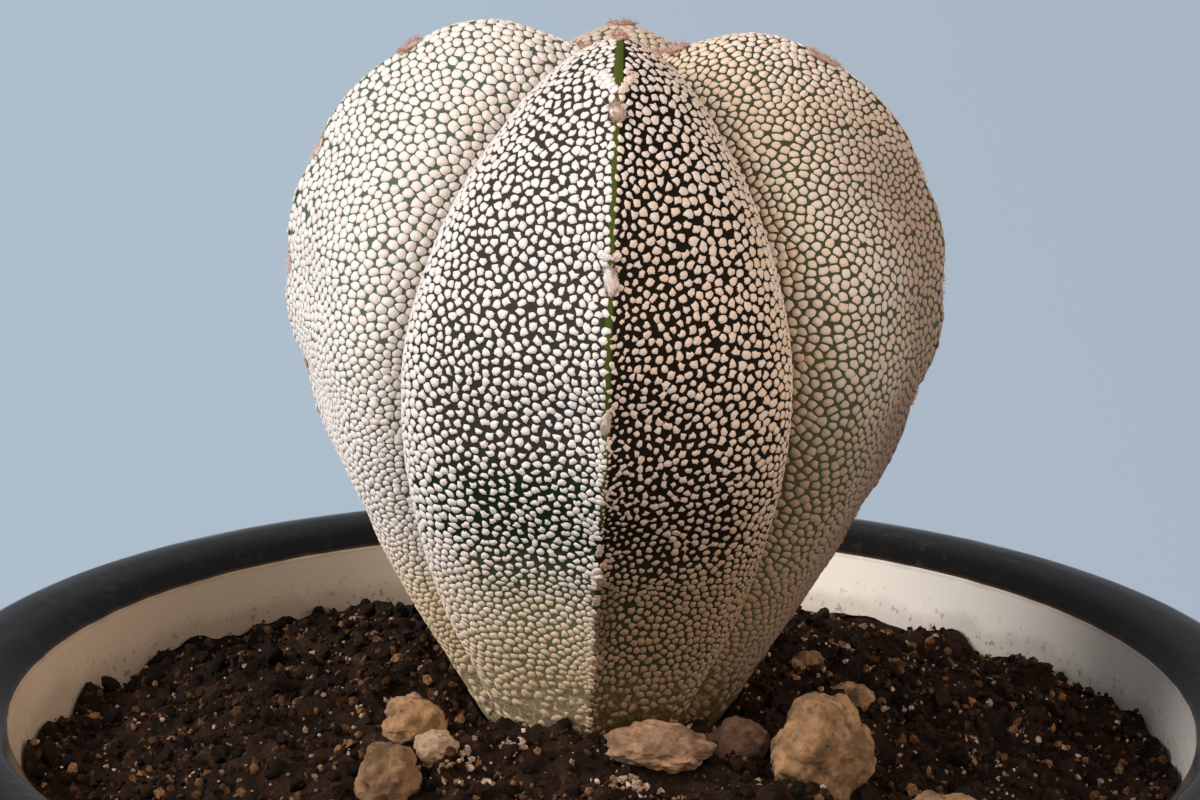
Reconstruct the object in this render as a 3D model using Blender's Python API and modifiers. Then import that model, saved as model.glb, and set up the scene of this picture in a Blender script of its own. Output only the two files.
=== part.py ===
"""A four-ribbed bishop's cap cactus in its glazed pot.

The frame stands on the pot's foot: the origin is the middle of the foot, +Z is up and the
rib that is seen best faces -Y. Lengths are given in millimetres and turned into metres by MM.
"""

import math
import random

import bmesh
import bpy
from mathutils import Matrix, Vector, noise

MM = 0.001
GAP = 0.3                     # between touching pieces

# Pot
POT_HEIGHT = 97.2
RIM_RADIUS = 65.0             # outside of the rolled rim
MOUTH_RADIUS = 54.9           # inner edge of the rim
RIM_DEPTH = 11.2              # height of the rolled rim
RIM_DOME = 1.7                # rise of the rim's top over its inner edge
RIM_ROUND = 3.2               # radius of its outer edge
LIP_ROUND = 1.6               # radius of its lower edge
NECK_RADIUS = 60.4            # outside, just under the rim
FOOT_RADIUS = 45.0
FOOT_WIDTH = 4.6
FOOT_HEIGHT = 1.6
FOOT_INSET = 1.8              # of the ring that touches, from the foot's outside
FLOOR_RADIUS = 40.4           # of the inside, read at the floor
FLOOR_THICKNESS = 5.0
FLOOR_ROUND = 6.0
DRAIN_RADIUS = 6.0
POT_STEPS = 48                # also of the soil, so that its sides lie along the wall

# Shard over the drain hole
SHARD_LENGTH = 27.0
SHARD_WIDTH = 21.0
SHARD_THICKNESS = 3.6
SHARD_BEND_RADIUS = 34.0
SHARD_TAPER = 0.12            # its broken outline, out of square by this share

# Soil, heights over the mouth's edge
SOIL_AT_PLANT = 0.8
SOIL_AT_WALL = -6.2
MOUND_RADIUS = 17.0           # the mound is level out to here
SOIL_LUMP = 2.0
SOIL_RINGS = 12

# Cactus, heights over the soil at its foot
CREST = [(11.9, -0.5), (15.5, 5.6), (19.6, 12.4), (23.8, 19.6), (27.3, 27.6), (29.5, 34.6), (30.1, 41.0),
         (28.7, 48.0), (25.6, 54.4), (19.6, 60.2), (12.2, 62.8), (5.0, 61.0), (0.5, 59.2)]
GROOVE = [(11.5, -0.5), (14.9, 5.4), (18.7, 11.9), (21.4, 18.8), (22.9, 26.2), (22.6, 32.6), (21.2, 38.8),
          (18.4, 45.0), (14.4, 50.6), (9.9, 54.8), (6.2, 57.2), (3.2, 58.4), (0.45, 59.1)]
KEEL_ANGLE = [12, 16, 18, 20, 22, 24, 26, 26, 28, 30, 32, 30, 10]
GROOVE_ANGLE = [72, 60, 48, 36, 24, 12, 6, 4, 4, 5, 8, 20, 60]
ROOT = [(11.7, -0.5), (9.2, -4.0), (7.2, -10.0), (5.0, -19.0), (1.8, -30.0)]
ROOT_TIP = -32.0
RIB_BEARING = (-91.2, -1.5, 90.0, 178.5)      # front, right, back and left crest, in degrees
RIB_RISE = (1.1, 0.0, -1.6, 0.4)              # of each rib's hump over the mean
GROOVE_BEARING = (-48.5, 44.0, 135.0, 221.6)  # the groove after each of those ribs
GROOVE_REACH = (0.965, 1.0, 1.0, 1.0)
TWIST = -4.0                  # of the foot against the top, in degrees
TWIST_HEIGHT = 36.0
LEAN = 0.95                   # towards +X, in degrees
HUMP_START = 30.0             # height from which the humps differ
KEEL_HANDLE = 0.34            # how far the flank holds its direction at the crest
GROOVE_HANDLE = 0.34          # and at the groove, where it holds longer the tighter the groove is
TIGHT_HANDLE = 0.2
FLANK_DROP = 1.6              # power by which a flank drops from crest to groove

HALF_RIB_COLUMNS = 12
ROOT_ROWS = len(ROOT)
BODY_ROWS = 44
FLECK_RISE = 0.9              # the felt flecks, drawn larger than they grow
AREOLES = ((0.21, 0.27, 0.41, 0.56, 0.72, 0.84),
           (0.24, 0.36, 0.49, 0.62, 0.76, 0.91),
           (0.22, 0.33, 0.45, 0.58, 0.71, 0.83),
           (0.25, 0.37, 0.49, 0.62, 0.75, 0.94))   # along each crest, 0 at the soil, 1 at the crown
AREOLE_SIZE = (1.25, 1.7, 0.9)                # half width, half length and half thickness
AREOLE_NOTCH = 0.55
AREOLE_NOTCH_LENGTH = 0.028

# Stones on the soil: x, y, then half length, half width and half height, and the turn in degrees
STONES = ((19.6, -17.6, 4.8, 4.1, 5.2, 35),
          (5.4, -18.8, 4.5, 3.0, 2.1, -8),
          (-17.1, -12.2, 3.0, 2.6, 2.3, 70),
          (-14.8, -17.6, 2.0, 1.7, 1.8, 20),
          (-18.9, -21.6, 3.2, 2.8, 3.2, 55),
          (12.4, -13.8, 3.2, 2.4, 2.5, 40),
          (30.2, -23.2, 3.6, 3.2, 2.4, 15),
          (-17.8, -4.4, 2.7, 2.1, 1.9, 100),
          (19.8, 13.5, 1.7, 1.5, 1.3, 30),
          (-7.4, 20.4, 3.9, 3.1, 2.0, 160),
          (6.9, 21.8, 3.0, 2.5, 1.7, 10),
          (23.4, 3.0, 2.5, 2.1, 1.6, 100))
STONE_RISE = 0.3              # of its half height, the middle lies this far over the surface
STONE_ROUGHNESS = 0.3
STONE_SEED = 11

MOUTH_HEIGHT = POT_HEIGHT - RIM_DOME
SOIL_HEIGHT = MOUTH_HEIGHT + SOIL_AT_PLANT
FLOOR_HEIGHT = FOOT_HEIGHT + FLOOR_THICKNESS


def clear_scene():
    for old in list(bpy.data.objects):
        bpy.data.objects.remove(old, do_unlink=True)


def new_collection(name):
    collection = bpy.data.collections.new(name)
    bpy.context.scene.collection.children.link(collection)
    return collection


def finish(name, colour, roughness, metallic=0.0):
    material = bpy.data.materials.new(name)
    material.use_nodes = True
    shader = material.node_tree.nodes["Principled BSDF"]
    shader.inputs["Base Color"].default_value = (*colour, 1.0)
    shader.inputs["Roughness"].default_value = roughness
    shader.inputs["Metallic"].default_value = metallic
    return material


def add_object(name, mesh, collection, material=None):
    piece = bpy.data.objects.new(name, mesh)
    collection.objects.link(piece)
    if material:
        mesh.materials.append(material)
    return piece


def mesh_from(bm, name):
    """Turns a bmesh that was drawn in millimetres into a mesh in metres."""
    bmesh.ops.scale(bm, vec=(MM, MM, MM), verts=bm.verts)
    mesh = bpy.data.meshes.new(name)
    bm.to_mesh(mesh)
    bm.free()
    return mesh


def smooth(piece, angle=40.0):
    piece.data.shade_smooth()
    piece.data.set_sharp_from_angle(angle=math.radians(angle))


def cutter(name, mesh, collection):
    piece = add_object(name, mesh, collection)
    piece.hide_render = True
    piece.display_type = "WIRE"
    return piece


def cut(piece, tool):
    boolean = piece.modifiers.new(tool.name, "BOOLEAN")
    boolean.operation = "DIFFERENCE"
    boolean.object = tool


def arc(centre, radius, start, end, steps):
    """Points of an arc in the profile plane, with its angles in degrees from +X."""
    angles = [math.radians(start + (end - start) * i / steps) for i in range(steps + 1)]
    return [(centre[0] + radius * math.cos(a), centre[1] + radius * math.sin(a)) for a in angles]


def turned(name, outline, closed):
    """A profile that runs down its outer side, turned round Z by a Screw modifier."""
    bm = bmesh.new()
    verts = [bm.verts.new((r, 0.0, z)) for r, z in outline]
    for a, b in zip(verts, verts[1:]):
        bm.edges.new((a, b))
    if closed:
        bm.edges.new((verts[-1], verts[0]))
    return mesh_from(bm, name)


def add_screw(piece, steps):
    screw = piece.modifiers.new("turn", "SCREW")
    screw.steps = steps
    screw.render_steps = steps
    screw.use_merge_vertices = True
    screw.merge_threshold = 0.00001


def blend(low, high, value):
    """A smooth step from 0 at low to 1 at high."""
    t = min(max((value - low) / (high - low), 0.0), 1.0)
    return t * t * (3.0 - 2.0 * t)


def along(values, t):
    """A smooth curve through evenly spaced values, read at t from 0 to 1."""
    last = len(values) - 1
    i = min(int(t * last), last - 1)
    f = t * last - i
    b, c = values[i], values[i + 1]
    a = values[i - 1] if i > 0 else 2 * b - c
    d = values[i + 2] if i + 2 <= last else 2 * c - b
    bend = (2 * a - 5 * b + 4 * c - d) * f ** 2 + (3 * b - a - 3 * c + d) * f ** 3
    return 0.5 * (2 * b + (c - a) * f + bend)


def inner_wall_radius(height):
    """The pot's inside radius at a height."""
    up = (height - FLOOR_HEIGHT) / (MOUTH_HEIGHT - FLOOR_HEIGHT)
    return FLOOR_RADIUS + (MOUTH_RADIUS - FLOOR_RADIUS) * up


def make_pot(collection):
    rim_crown = 0.5 * (MOUTH_RADIUS + RIM_RADIUS)
    rim_top = [(MOUTH_RADIUS, MOUTH_HEIGHT), (MOUTH_RADIUS + 1.5, MOUTH_HEIGHT + 0.6 * RIM_DOME),
               (rim_crown - 1.4, POT_HEIGHT - 0.1), (rim_crown + 0.8, POT_HEIGHT)]
    round_over = arc((RIM_RADIUS - RIM_ROUND, POT_HEIGHT - RIM_ROUND - 0.2), RIM_ROUND, 78, 0, 3)
    lip = POT_HEIGHT - RIM_DEPTH
    under_lip = arc((RIM_RADIUS - LIP_ROUND, lip + LIP_ROUND), LIP_ROUND, 0, -80, 2)
    neck = [(NECK_RADIUS + 0.8, lip - 0.6), (NECK_RADIUS, lip - 2.4)]
    ring_out = FOOT_RADIUS - FOOT_INSET
    ring_in = ring_out - FOOT_WIDTH
    foot = [(FOOT_RADIUS, 3.0), (FOOT_RADIUS - 1.0, 0.8), (ring_out, 0.0), (ring_in, 0.0),
            (ring_in - 0.8, FOOT_HEIGHT)]
    drain = [(DRAIN_RADIUS, FOOT_HEIGHT), (DRAIN_RADIUS, FLOOR_HEIGHT)]
    corner_radius = inner_wall_radius(FLOOR_HEIGHT + FLOOR_ROUND)
    floor_corner = arc((corner_radius - FLOOR_ROUND, FLOOR_HEIGHT + FLOOR_ROUND), FLOOR_ROUND, -90, 0, 3)
    outline = rim_top + round_over + under_lip + neck + foot + drain + floor_corner
    glaze = finish("black glaze", (0.012, 0.011, 0.012), 0.18)
    pot = add_object("pot", turned("pot", outline, closed=True), collection, glaze)
    add_screw(pot, POT_STEPS)
    smooth(pot)
    return pot


def shard_surface(margin, lift):
    """The top face of the arched shard, as an open grid with a broken outline."""
    bm = bmesh.new()
    bmesh.ops.create_grid(bm, x_segments=6, y_segments=4, size=0.5)
    length, width = SHARD_LENGTH + 2 * margin, SHARD_WIDTH + 2 * margin
    for v in bm.verts:
        x, y = v.co.x * length, v.co.y * width
        x, y = x * (1.0 + SHARD_TAPER * y / width), y * (1.0 + SHARD_TAPER * x / length)
        crown = math.sqrt(SHARD_BEND_RADIUS ** 2 - x ** 2)
        edge = math.sqrt(SHARD_BEND_RADIUS ** 2 - (0.53 * SHARD_LENGTH) ** 2)
        v.co = (x, y, FLOOR_HEIGHT + GAP + SHARD_THICKNESS + crown - edge + lift)
    return bm


def make_shard(collection):
    clay = finish("terracotta", (0.52, 0.20, 0.10), 0.85)
    shard = add_object("drain_crock", mesh_from(shard_surface(0.0, 0.0), "drain_crock"), collection, clay)
    thickness = shard.modifiers.new("thickness", "SOLIDIFY")
    thickness.thickness = SHARD_THICKNESS * MM
    thickness.offset = -1.0
    smooth(shard)
    return shard


def make_shard_pocket(collection):
    """The room that the shard leaves in the soil, open down to the pot's floor."""
    pocket = cutter("shard pocket", mesh_from(shard_surface(GAP, GAP), "shard pocket"), collection)
    depth = pocket.modifiers.new("depth", "SOLIDIFY")
    depth.thickness = 3 * SHARD_THICKNESS * MM
    depth.offset = -1.0
    return pocket


def soil_level(x, y):
    """Height of the soil's surface: a low mound with lumps."""
    out = blend(MOUND_RADIUS, inner_wall_radius(MOUTH_HEIGHT), math.hypot(x, y))
    mound = SOIL_AT_PLANT + (SOIL_AT_WALL - SOIL_AT_PLANT) * out
    lumps = noise.noise(Vector((x, y, 3.0)) * 0.16) + 0.6 * noise.noise(Vector((x, y, 9.0)) * 0.37)
    return MOUTH_HEIGHT + mound + SOIL_LUMP * lumps


def make_soil(collection):
    top_radius = inner_wall_radius(MOUTH_HEIGHT + SOIL_AT_WALL)
    corner_radius = inner_wall_radius(FLOOR_HEIGHT + FLOOR_ROUND)
    corner_centre = (corner_radius - FLOOR_ROUND, FLOOR_HEIGHT + FLOOR_ROUND)
    corner = arc(corner_centre, FLOOR_ROUND - GAP - 0.1, 0, -90, 3)
    top = [(top_radius * i / SOIL_RINGS, MOUTH_HEIGHT) for i in range(SOIL_RINGS + 1)]
    bm = bmesh.new()
    outline = [bm.verts.new((r, 0.0, z)) for r, z in top + corner + [(0.0, FLOOR_HEIGHT + GAP)]]
    edges = [bm.edges.new(pair) for pair in zip(outline, outline[1:])]
    bmesh.ops.spin(bm, geom=outline + edges, axis=(0, 0, 1), cent=(0, 0, 0), steps=POT_STEPS,
                   angle=2 * math.pi, use_merge=True)
    bmesh.ops.remove_doubles(bm, verts=bm.verts, dist=0.001)
    bmesh.ops.recalc_face_normals(bm, faces=bm.faces)
    for v in bm.verts:
        if abs(v.co.z - MOUTH_HEIGHT) > 0.001:
            continue
        level = soil_level(v.co.x, v.co.y)
        wall = inner_wall_radius(level) - GAP - 0.1
        inward = min(1.0, wall / max(v.co.xy.length, 1.0))
        v.co = (v.co.x * inward, v.co.y * inward, level)
    mix = finish("potting mix", (0.035, 0.022, 0.014), 0.95)
    soil = add_object("soil", mesh_from(bm, "soil"), collection, mix)
    smooth(soil, 60.0)
    return soil


def planted(point):
    """Moves a point of the upright plant to its leaning place in the pot."""
    return Matrix.Rotation(math.radians(LEAN), 3, "Y") @ point + Vector((0.0, 0.0, SOIL_HEIGHT))


def skin(rib, side, s, t):
    """A point of the skin, from crest (s 0) to groove (s 1) and from soil (t 0) to crown (t 1)."""
    crest_r = along([r for r, z in CREST], t)
    crest_z = along([z for r, z in CREST], t)
    groove_r = along([r for r, z in GROOVE], t)
    groove_z = along([z for r, z in GROOVE], t)
    groove = rib if side > 0 else (rib - 1) % 4
    twist = TWIST * max(1.0 - crest_z / TWIST_HEIGHT, 0.0) ** 2
    crest_z += RIB_RISE[rib] * min(max((crest_z - HUMP_START) / HUMP_START, 0.0), 1.0) ** 1.5
    groove_r *= GROOVE_REACH[groove]
    notch = sum(math.exp(-((t - place) / AREOLE_NOTCH_LENGTH) ** 2) for place in AREOLES[rib])
    crest_r -= AREOLE_NOTCH * notch * blend(0.0, 0.3, t) * blend(1.0, 0.95, t)

    bearing = math.radians(RIB_BEARING[rib] + twist)
    turn = math.radians(GROOVE_BEARING[groove] - RIB_BEARING[rib])
    turn = (turn + math.pi) % (2 * math.pi) - math.pi
    keel = math.radians(along(KEEL_ANGLE, t))
    opening = math.radians(along(GROOVE_ANGLE, t))
    crest = Vector((crest_r, 0.0))
    valley = Vector((groove_r * math.cos(turn), groove_r * math.sin(turn)))
    width = (crest - valley).length
    hold = GROOVE_HANDLE + TIGHT_HANDLE * max(1.0 - opening / (0.25 * math.pi), 0.0)
    towards = turn - side * opening
    crest_arm = crest + KEEL_HANDLE * width * Vector((-math.sin(keel), side * math.cos(keel)))
    valley_arm = valley + hold * width * Vector((math.cos(towards), math.sin(towards)))
    flat = ((1 - s) ** 3 * crest + 3 * (1 - s) ** 2 * s * crest_arm
            + 3 * (1 - s) * s ** 2 * valley_arm + s ** 3 * valley)
    flat = Matrix.Rotation(bearing, 2) @ flat
    return Vector((flat.x, flat.y, crest_z + (groove_z - crest_z) * s ** FLANK_DROP))


def plant_point(rib, side, s, row):
    """A point of the body, or of the taproot for the rows below the soil."""
    if row >= 0:
        return skin(rib, side, s, row / BODY_ROWS)
    radius, height = ROOT[-row]
    neck = skin(rib, side, s, 0.0)
    return Vector((neck.x * radius / ROOT[0][0], neck.y * radius / ROOT[0][0], height))


def fleck_rise(v, s, row, column):
    """How far a point is raised: a felt fleck stands on every second one of every second row."""
    if row < 2 or row % 2 or (column + row // 2) % 2:
        return 0.0
    away_from_groove = blend(1.0, 0.62, s)
    bare_keel = 1.0 if s > 0.01 or row < 0.4 * BODY_ROWS else 0.0
    crowded = blend(7.0, 20.0, v.co.xy.length)
    return FLECK_RISE * away_from_groove * bare_keel * crowded


def make_body(collection, material):
    """A sphere whose rings and columns are laid along the ribs, then raised into flecks."""
    columns = 8 * HALF_RIB_COLUMNS
    rows = ROOT_ROWS + BODY_ROWS
    bm = bmesh.new()
    bmesh.ops.create_uvsphere(bm, u_segments=columns, v_segments=rows, radius=1.0)
    raised = []
    for v in bm.verts:
        row = round((1.0 - math.acos(max(-1.0, min(1.0, v.co.z))) / math.pi) * rows) - ROOT_ROWS
        column = round(math.atan2(v.co.y, v.co.x) / (2 * math.pi) * columns) % columns
        rib = ((column + HALF_RIB_COLUMNS) // (2 * HALF_RIB_COLUMNS)) % 4
        offset = (column - 2 * HALF_RIB_COLUMNS * rib + columns // 2) % columns - columns // 2
        s = abs(offset) / HALF_RIB_COLUMNS
        if row == BODY_ROWS:
            v.co = (0.0, 0.0, GROOVE[-1][1] + 0.05)
        elif row == -ROOT_ROWS:
            v.co = (0.0, 0.0, ROOT_TIP)
        else:
            v.co = plant_point(rib, 1 if offset >= 0 else -1, s, row)
        raised.append((v, s, row, column))
    bm.normal_update()
    moves = [(v, v.normal * fleck_rise(v, s, row, column)) for v, s, row, column in raised]
    for v, move in moves:
        v.co += move
    for v in bm.verts:
        v.co = planted(v.co)
    body = add_object("cactus", mesh_from(bm, "cactus"), collection, material)
    smooth(body, 75.0)
    return body


def areole_pad(rib, t, collection):
    """A felt pad that sits in its notch on the crest, as long as the crest runs."""
    place = planted(skin(rib, 1, 0.0, t))
    above, below = planted(skin(rib, 1, 0.0, t + 0.01)), planted(skin(rib, 1, 0.0, t - 0.01))
    run = (above - below).normalized()
    across = Matrix.Rotation(math.radians(RIB_BEARING[rib]), 3, "Z") @ Vector((0.0, 1.0, 0.0))
    out = across.cross(run).normalized()
    frame = Matrix((across, run, out)).transposed().to_4x4()
    size = 0.6 + 0.4 * blend(0.15, 0.5, t)
    bm = bmesh.new()
    bmesh.ops.create_uvsphere(bm, u_segments=8, v_segments=4, radius=1.0)
    bmesh.ops.scale(bm, vec=[size * half for half in AREOLE_SIZE], verts=bm.verts)
    bmesh.ops.transform(bm, matrix=Matrix.Translation(place + 0.1 * out) @ frame, verts=bm.verts)
    return add_object(f"areole {rib} {t}", mesh_from(bm, "areole"), collection)


def make_cactus(collection, pads):
    """The body with its areole pads joined on; the pads' own objects are then removed."""
    skin_green = finish("flecked skin", (0.30, 0.31, 0.24), 0.75)
    cactus = make_body(collection, skin_green)
    for rib, places in enumerate(AREOLES):
        for t in places:
            areole_pad(rib, t, pads)
    union = cactus.modifiers.new("areoles", "BOOLEAN")
    union.operation = "UNION"
    union.operand_type = "COLLECTION"
    union.collection = pads
    seen = cactus.evaluated_get(bpy.context.evaluated_depsgraph_get())
    joined = bpy.data.meshes.new_from_object(seen)
    cactus.modifiers.clear()
    cactus.data = joined
    for pad in list(pads.objects):
        bpy.data.objects.remove(pad, do_unlink=True)
    bpy.data.collections.remove(pads)
    return cactus


def make_root_hole(collection):
    """A plain turned hole that follows the neck and the taproot, leaning with them."""
    neck = [(15.5, 5.6), (13.6, 2.6), (11.9, -0.5)]
    sides = [(r + GAP + 0.05, z) for r, z in neck + ROOT[1:]]
    outline = [(0.0, neck[0][1])] + sides + [(0.0, ROOT_TIP - GAP)]
    hole = cutter("root hole", turned("root hole", outline, closed=False), collection)
    hole.location.z = SOIL_HEIGHT * MM
    hole.rotation_euler.y = math.radians(LEAN)
    add_screw(hole, 48)
    return hole


def stone_mesh(name, number, swell):
    """A broken, weathered lump; swell makes the same lump larger all round."""
    x, y, length, width, height, turn = STONES[number]
    draw = random.Random(STONE_SEED + number)
    shift = Vector([draw.uniform(-50, 50) for _ in range(3)])
    bm = bmesh.new()
    bmesh.ops.create_icosphere(bm, subdivisions=3 if length > 4.8 else 2, radius=1.0)
    for v in bm.verts:
        knobs = noise.noise(v.co * 1.3 + shift) + 0.5 * noise.noise(v.co * 3.1 + shift)
        rough = 1.0 + STONE_ROUGHNESS * knobs
        v.co = Vector((v.co.x * length, v.co.y * width, v.co.z * height)) * rough
    bm.normal_update()
    for v, out in [(v, v.normal.copy()) for v in bm.verts]:
        v.co += out * swell
    place = Matrix.Translation((x, y, soil_level(x, y) + STONE_RISE * height))
    bmesh.ops.transform(bm, matrix=place @ Matrix.Rotation(math.radians(turn), 4, "Z"), verts=bm.verts)
    return mesh_from(bm, name)


def make_stones(collection, cutters, soil):
    tones = [finish("tan tuff", (0.42, 0.28, 0.18), 0.9), finish("pink tuff", (0.36, 0.22, 0.17), 0.9)]
    for number in range(len(STONES)):
        name = f"stone_{number + 1:02d}"
        stone = add_object(name, stone_mesh(name, number, 0.0), collection, tones[number % 2])
        smooth(stone, 50.0)
        cut(soil, cutter(f"{name} pocket", stone_mesh(f"{name} pocket", number, GAP), cutters))


def build():
    clear_scene()
    parts = new_collection("potted cactus")
    cutters = new_collection("cutters")
    make_pot(parts)
    make_shard(parts)
    soil = make_soil(parts)
    make_cactus(parts, new_collection("areole pads"))
    cut(soil, make_root_hole(cutters))
    cut(soil, make_shard_pocket(cutters))
    make_stones(parts, cutters, soil)


build()
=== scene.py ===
"""Looks of the potted bishop's cap cactus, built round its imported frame.

Lengths are given in millimetres in the part's own frame and turned into metres by MM.
"""

import math
import random

import bmesh
import bpy
import numpy as np
from mathutils import Matrix, Vector, kdtree, noise


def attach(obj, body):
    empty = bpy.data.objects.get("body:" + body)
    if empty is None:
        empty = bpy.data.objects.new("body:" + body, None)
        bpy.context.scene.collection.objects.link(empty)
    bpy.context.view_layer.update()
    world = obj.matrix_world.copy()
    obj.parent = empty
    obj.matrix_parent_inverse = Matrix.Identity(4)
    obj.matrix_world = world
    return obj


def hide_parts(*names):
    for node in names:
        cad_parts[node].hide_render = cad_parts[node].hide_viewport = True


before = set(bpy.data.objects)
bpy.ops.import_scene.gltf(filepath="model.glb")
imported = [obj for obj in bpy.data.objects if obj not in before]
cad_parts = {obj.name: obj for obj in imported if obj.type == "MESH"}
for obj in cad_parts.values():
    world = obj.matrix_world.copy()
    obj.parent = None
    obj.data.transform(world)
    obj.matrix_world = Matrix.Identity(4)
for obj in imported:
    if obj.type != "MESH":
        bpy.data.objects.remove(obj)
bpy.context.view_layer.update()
MM = 0.001

# The pot is thrown stoneware, poured with a cream glaze inside and then dipped in black glaze outside.
# The rim is rolled over. Its sharp inner edge sheds the glaze, which breaks brown there, and the foot
# ring is wiped bare so that it does not stick to the kiln shelf.
POT_HEIGHT = 97.2
MOUTH_HEIGHT = 95.5
RIM_RADIUS = 65.0
MOUTH_RADIUS = 54.9
MOUTH_EDGE = 0.45             # radius of the mouth's inner edge
RIM_ROUND = 3.2
RIM_UNDERSIDE = 86.0
LIP_ROUND = 1.6
NECK = (60.4, 83.6)           # radius and height where the wall meets the rim
FOOT_RADIUS = 45.0
FOOT_TURN = 3.0               # height at which the wall turns in to the foot
FOOT_RING = (43.2, 38.6)      # outer and inner radius of the bare ring
FOOT_HEIGHT = 1.6
FLOOR_RADIUS = 40.4
FLOOR_HEIGHT = 6.6
FLOOR_ROUND = 6.0
DRAIN_RADIUS = 6.0
POT_STEPS = 192
BLACK_GLAZE = (0.007, 0.006, 0.005)
CREAM_GLAZE = (0.95, 0.88, 0.77)
CREAM_SHADE = (0.92, 0.87, 0.78)      # what the cream is multiplied by in its darker clouds
REFLECTION_WHITE = (0.94, 0.92, 0.91)      # towards the right: a painted highlight and reflection of the window
SHADE_TAN = (0.66, 0.43, 0.26)        # towards the left: painted warm shade where the wall faces away from the window
BROKEN_GLAZE = (0.17, 0.075, 0.03)
BARE_CLAY = (0.40, 0.29, 0.20)
SOIL_STAIN = (0.16, 0.10, 0.06)
GLAZE_DUST = (0.5, 0.45, 0.4)


class Wire:
    """An output socket whose sums, differences and products add Math nodes to its finish."""

    def __init__(self, finish, socket):
        self.finish = finish
        self.socket = socket

    def math(self, operation, first, second):
        return self.finish.node("Math", {"operation": operation}, {0: first, 1: second})

    def __add__(self, other):
        return self.math("ADD", self, other)

    def __radd__(self, other):
        return self.math("ADD", other, self)

    def __sub__(self, other):
        return self.math("SUBTRACT", self, other)

    def __rsub__(self, other):
        return self.math("SUBTRACT", other, self)

    def __mul__(self, other):
        return self.math("MULTIPLY", self, other)

    def __rmul__(self, other):
        return self.math("MULTIPLY", other, self)


class Finish:
    """A Principled material, with the nodes that lead to its sockets."""

    def __init__(self, name, **constants):
        self.material = bpy.data.materials.new(name)
        self.material.use_nodes = True
        self.tree = self.material.node_tree
        self.shader = self.tree.nodes["Principled BSDF"]
        for socket, value in constants.items():
            self.shader.inputs[socket.replace("_", " ")].default_value = value
        self.place = self.node("TexCoord", output="Object")

    def node(self, kind, settings=None, inputs=None, output=0):
        """Adds a node: its settings are set first, then the values or links of its sockets."""
        node = self.tree.nodes.new("ShaderNode" + kind)
        for key, value in (settings or {}).items():
            setattr(node, key, value)
        for key, value in (inputs or {}).items():
            self.feed(node.inputs[key], value)
        return Wire(self, node.outputs[output])

    def feed(self, socket, value):
        if isinstance(value, Wire):
            self.tree.links.new(value.socket, socket)
        elif socket.type == "RGBA":
            socket.default_value = (*value, 1.0)
        else:
            socket.default_value = value

    def noise(self, scale, detail=3.0, roughness=0.55, stretch=None):
        """Fractal noise from 0 to 1; the scale is in features per millimetre."""
        place = self.place
        if stretch:
            place = self.node("Mapping", {"vector_type": "POINT"}, {"Vector": place, "Scale": stretch})
        inputs = {"Vector": place, "Scale": scale / MM, "Detail": detail, "Roughness": roughness}
        return self.node("TexNoise", {"noise_dimensions": "3D"}, inputs, "Fac")

    def cells(self, scale, output="Distance"):
        """Rounded cells; the scale is in cells per millimetre."""
        inputs = {"Vector": self.place, "Scale": scale / MM}
        return self.node("TexVoronoi", {"feature": "F1"}, inputs, output)

    def read(self, attribute, output="Fac"):
        """What a mesh stores for each of its vertices."""
        return self.node("Attribute", {"attribute_name": attribute}, output=output)

    def step(self, value, low, high):
        """A smooth step from 0 where the value is low to 1 where it is high."""
        settings = {"interpolation_type": "SMOOTHSTEP"}
        return self.node("MapRange", settings, {"Value": value, "From Min": low, "From Max": high})

    def mix(self, factor, first, second, blend="MIX"):
        """Two colours mixed, or the first one multiplied by the second."""
        settings = {"data_type": "RGBA", "blend_type": blend}
        return self.node("Mix", settings, {"Factor": factor, 6: first, 7: second}, 2)

    def bump(self, height, depth):
        """Turns heights from 0 to 1 into relief that is depth millimetres high."""
        inputs = {"Height": height, "Distance": depth * MM, "Strength": 1.0}
        return self.node("Bump", None, inputs, "Normal")

    def use(self, **sockets):
        for socket, value in sockets.items():
            self.feed(self.shader.inputs[socket.replace("_", " ")], value)
        return self.material


def arc(centre, radius, start, end, steps):
    """Points of an arc in the profile plane, with its angles in degrees from +X."""
    angles = [math.radians(start + (end - start) * i / steps) for i in range(steps + 1)]
    return [(centre[0] + radius * math.cos(a), centre[1] + radius * math.sin(a)) for a in angles]


def line(start, end, steps):
    """Points of a straight stretch of the profile, without its two ends."""
    return [(start[0] + (end[0] - start[0]) * i / steps, start[1] + (end[1] - start[1]) * i / steps)
            for i in range(1, steps)]


def turned(outline, steps, closed=True):
    """A profile of radius and height turned round Z, with its seam and poles closed."""
    bm = bmesh.new()
    verts = [bm.verts.new((r, 0.0, z)) for r, z in outline]
    edges = [bm.edges.new(pair) for pair in zip(verts, verts[1:])]
    if closed:
        edges.append(bm.edges.new((verts[-1], verts[0])))
    bmesh.ops.spin(bm, geom=verts + edges, axis=(0, 0, 1), cent=(0, 0, 0), steps=steps,
                   angle=2 * math.pi, use_merge=True)
    bmesh.ops.remove_doubles(bm, verts=bm.verts, dist=0.001)
    bmesh.ops.recalc_face_normals(bm, faces=bm.faces)
    return bm


def finished(bm, name, material, sharp=180.0):
    """Makes a piece from a bmesh that was drawn in millimetres, and lets it ride with the pot."""
    bmesh.ops.scale(bm, vec=(MM, MM, MM), verts=bm.verts)
    mesh = bpy.data.meshes.new(name)
    bm.to_mesh(mesh)
    bm.free()
    return placed(mesh, name, material, sharp)


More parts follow.
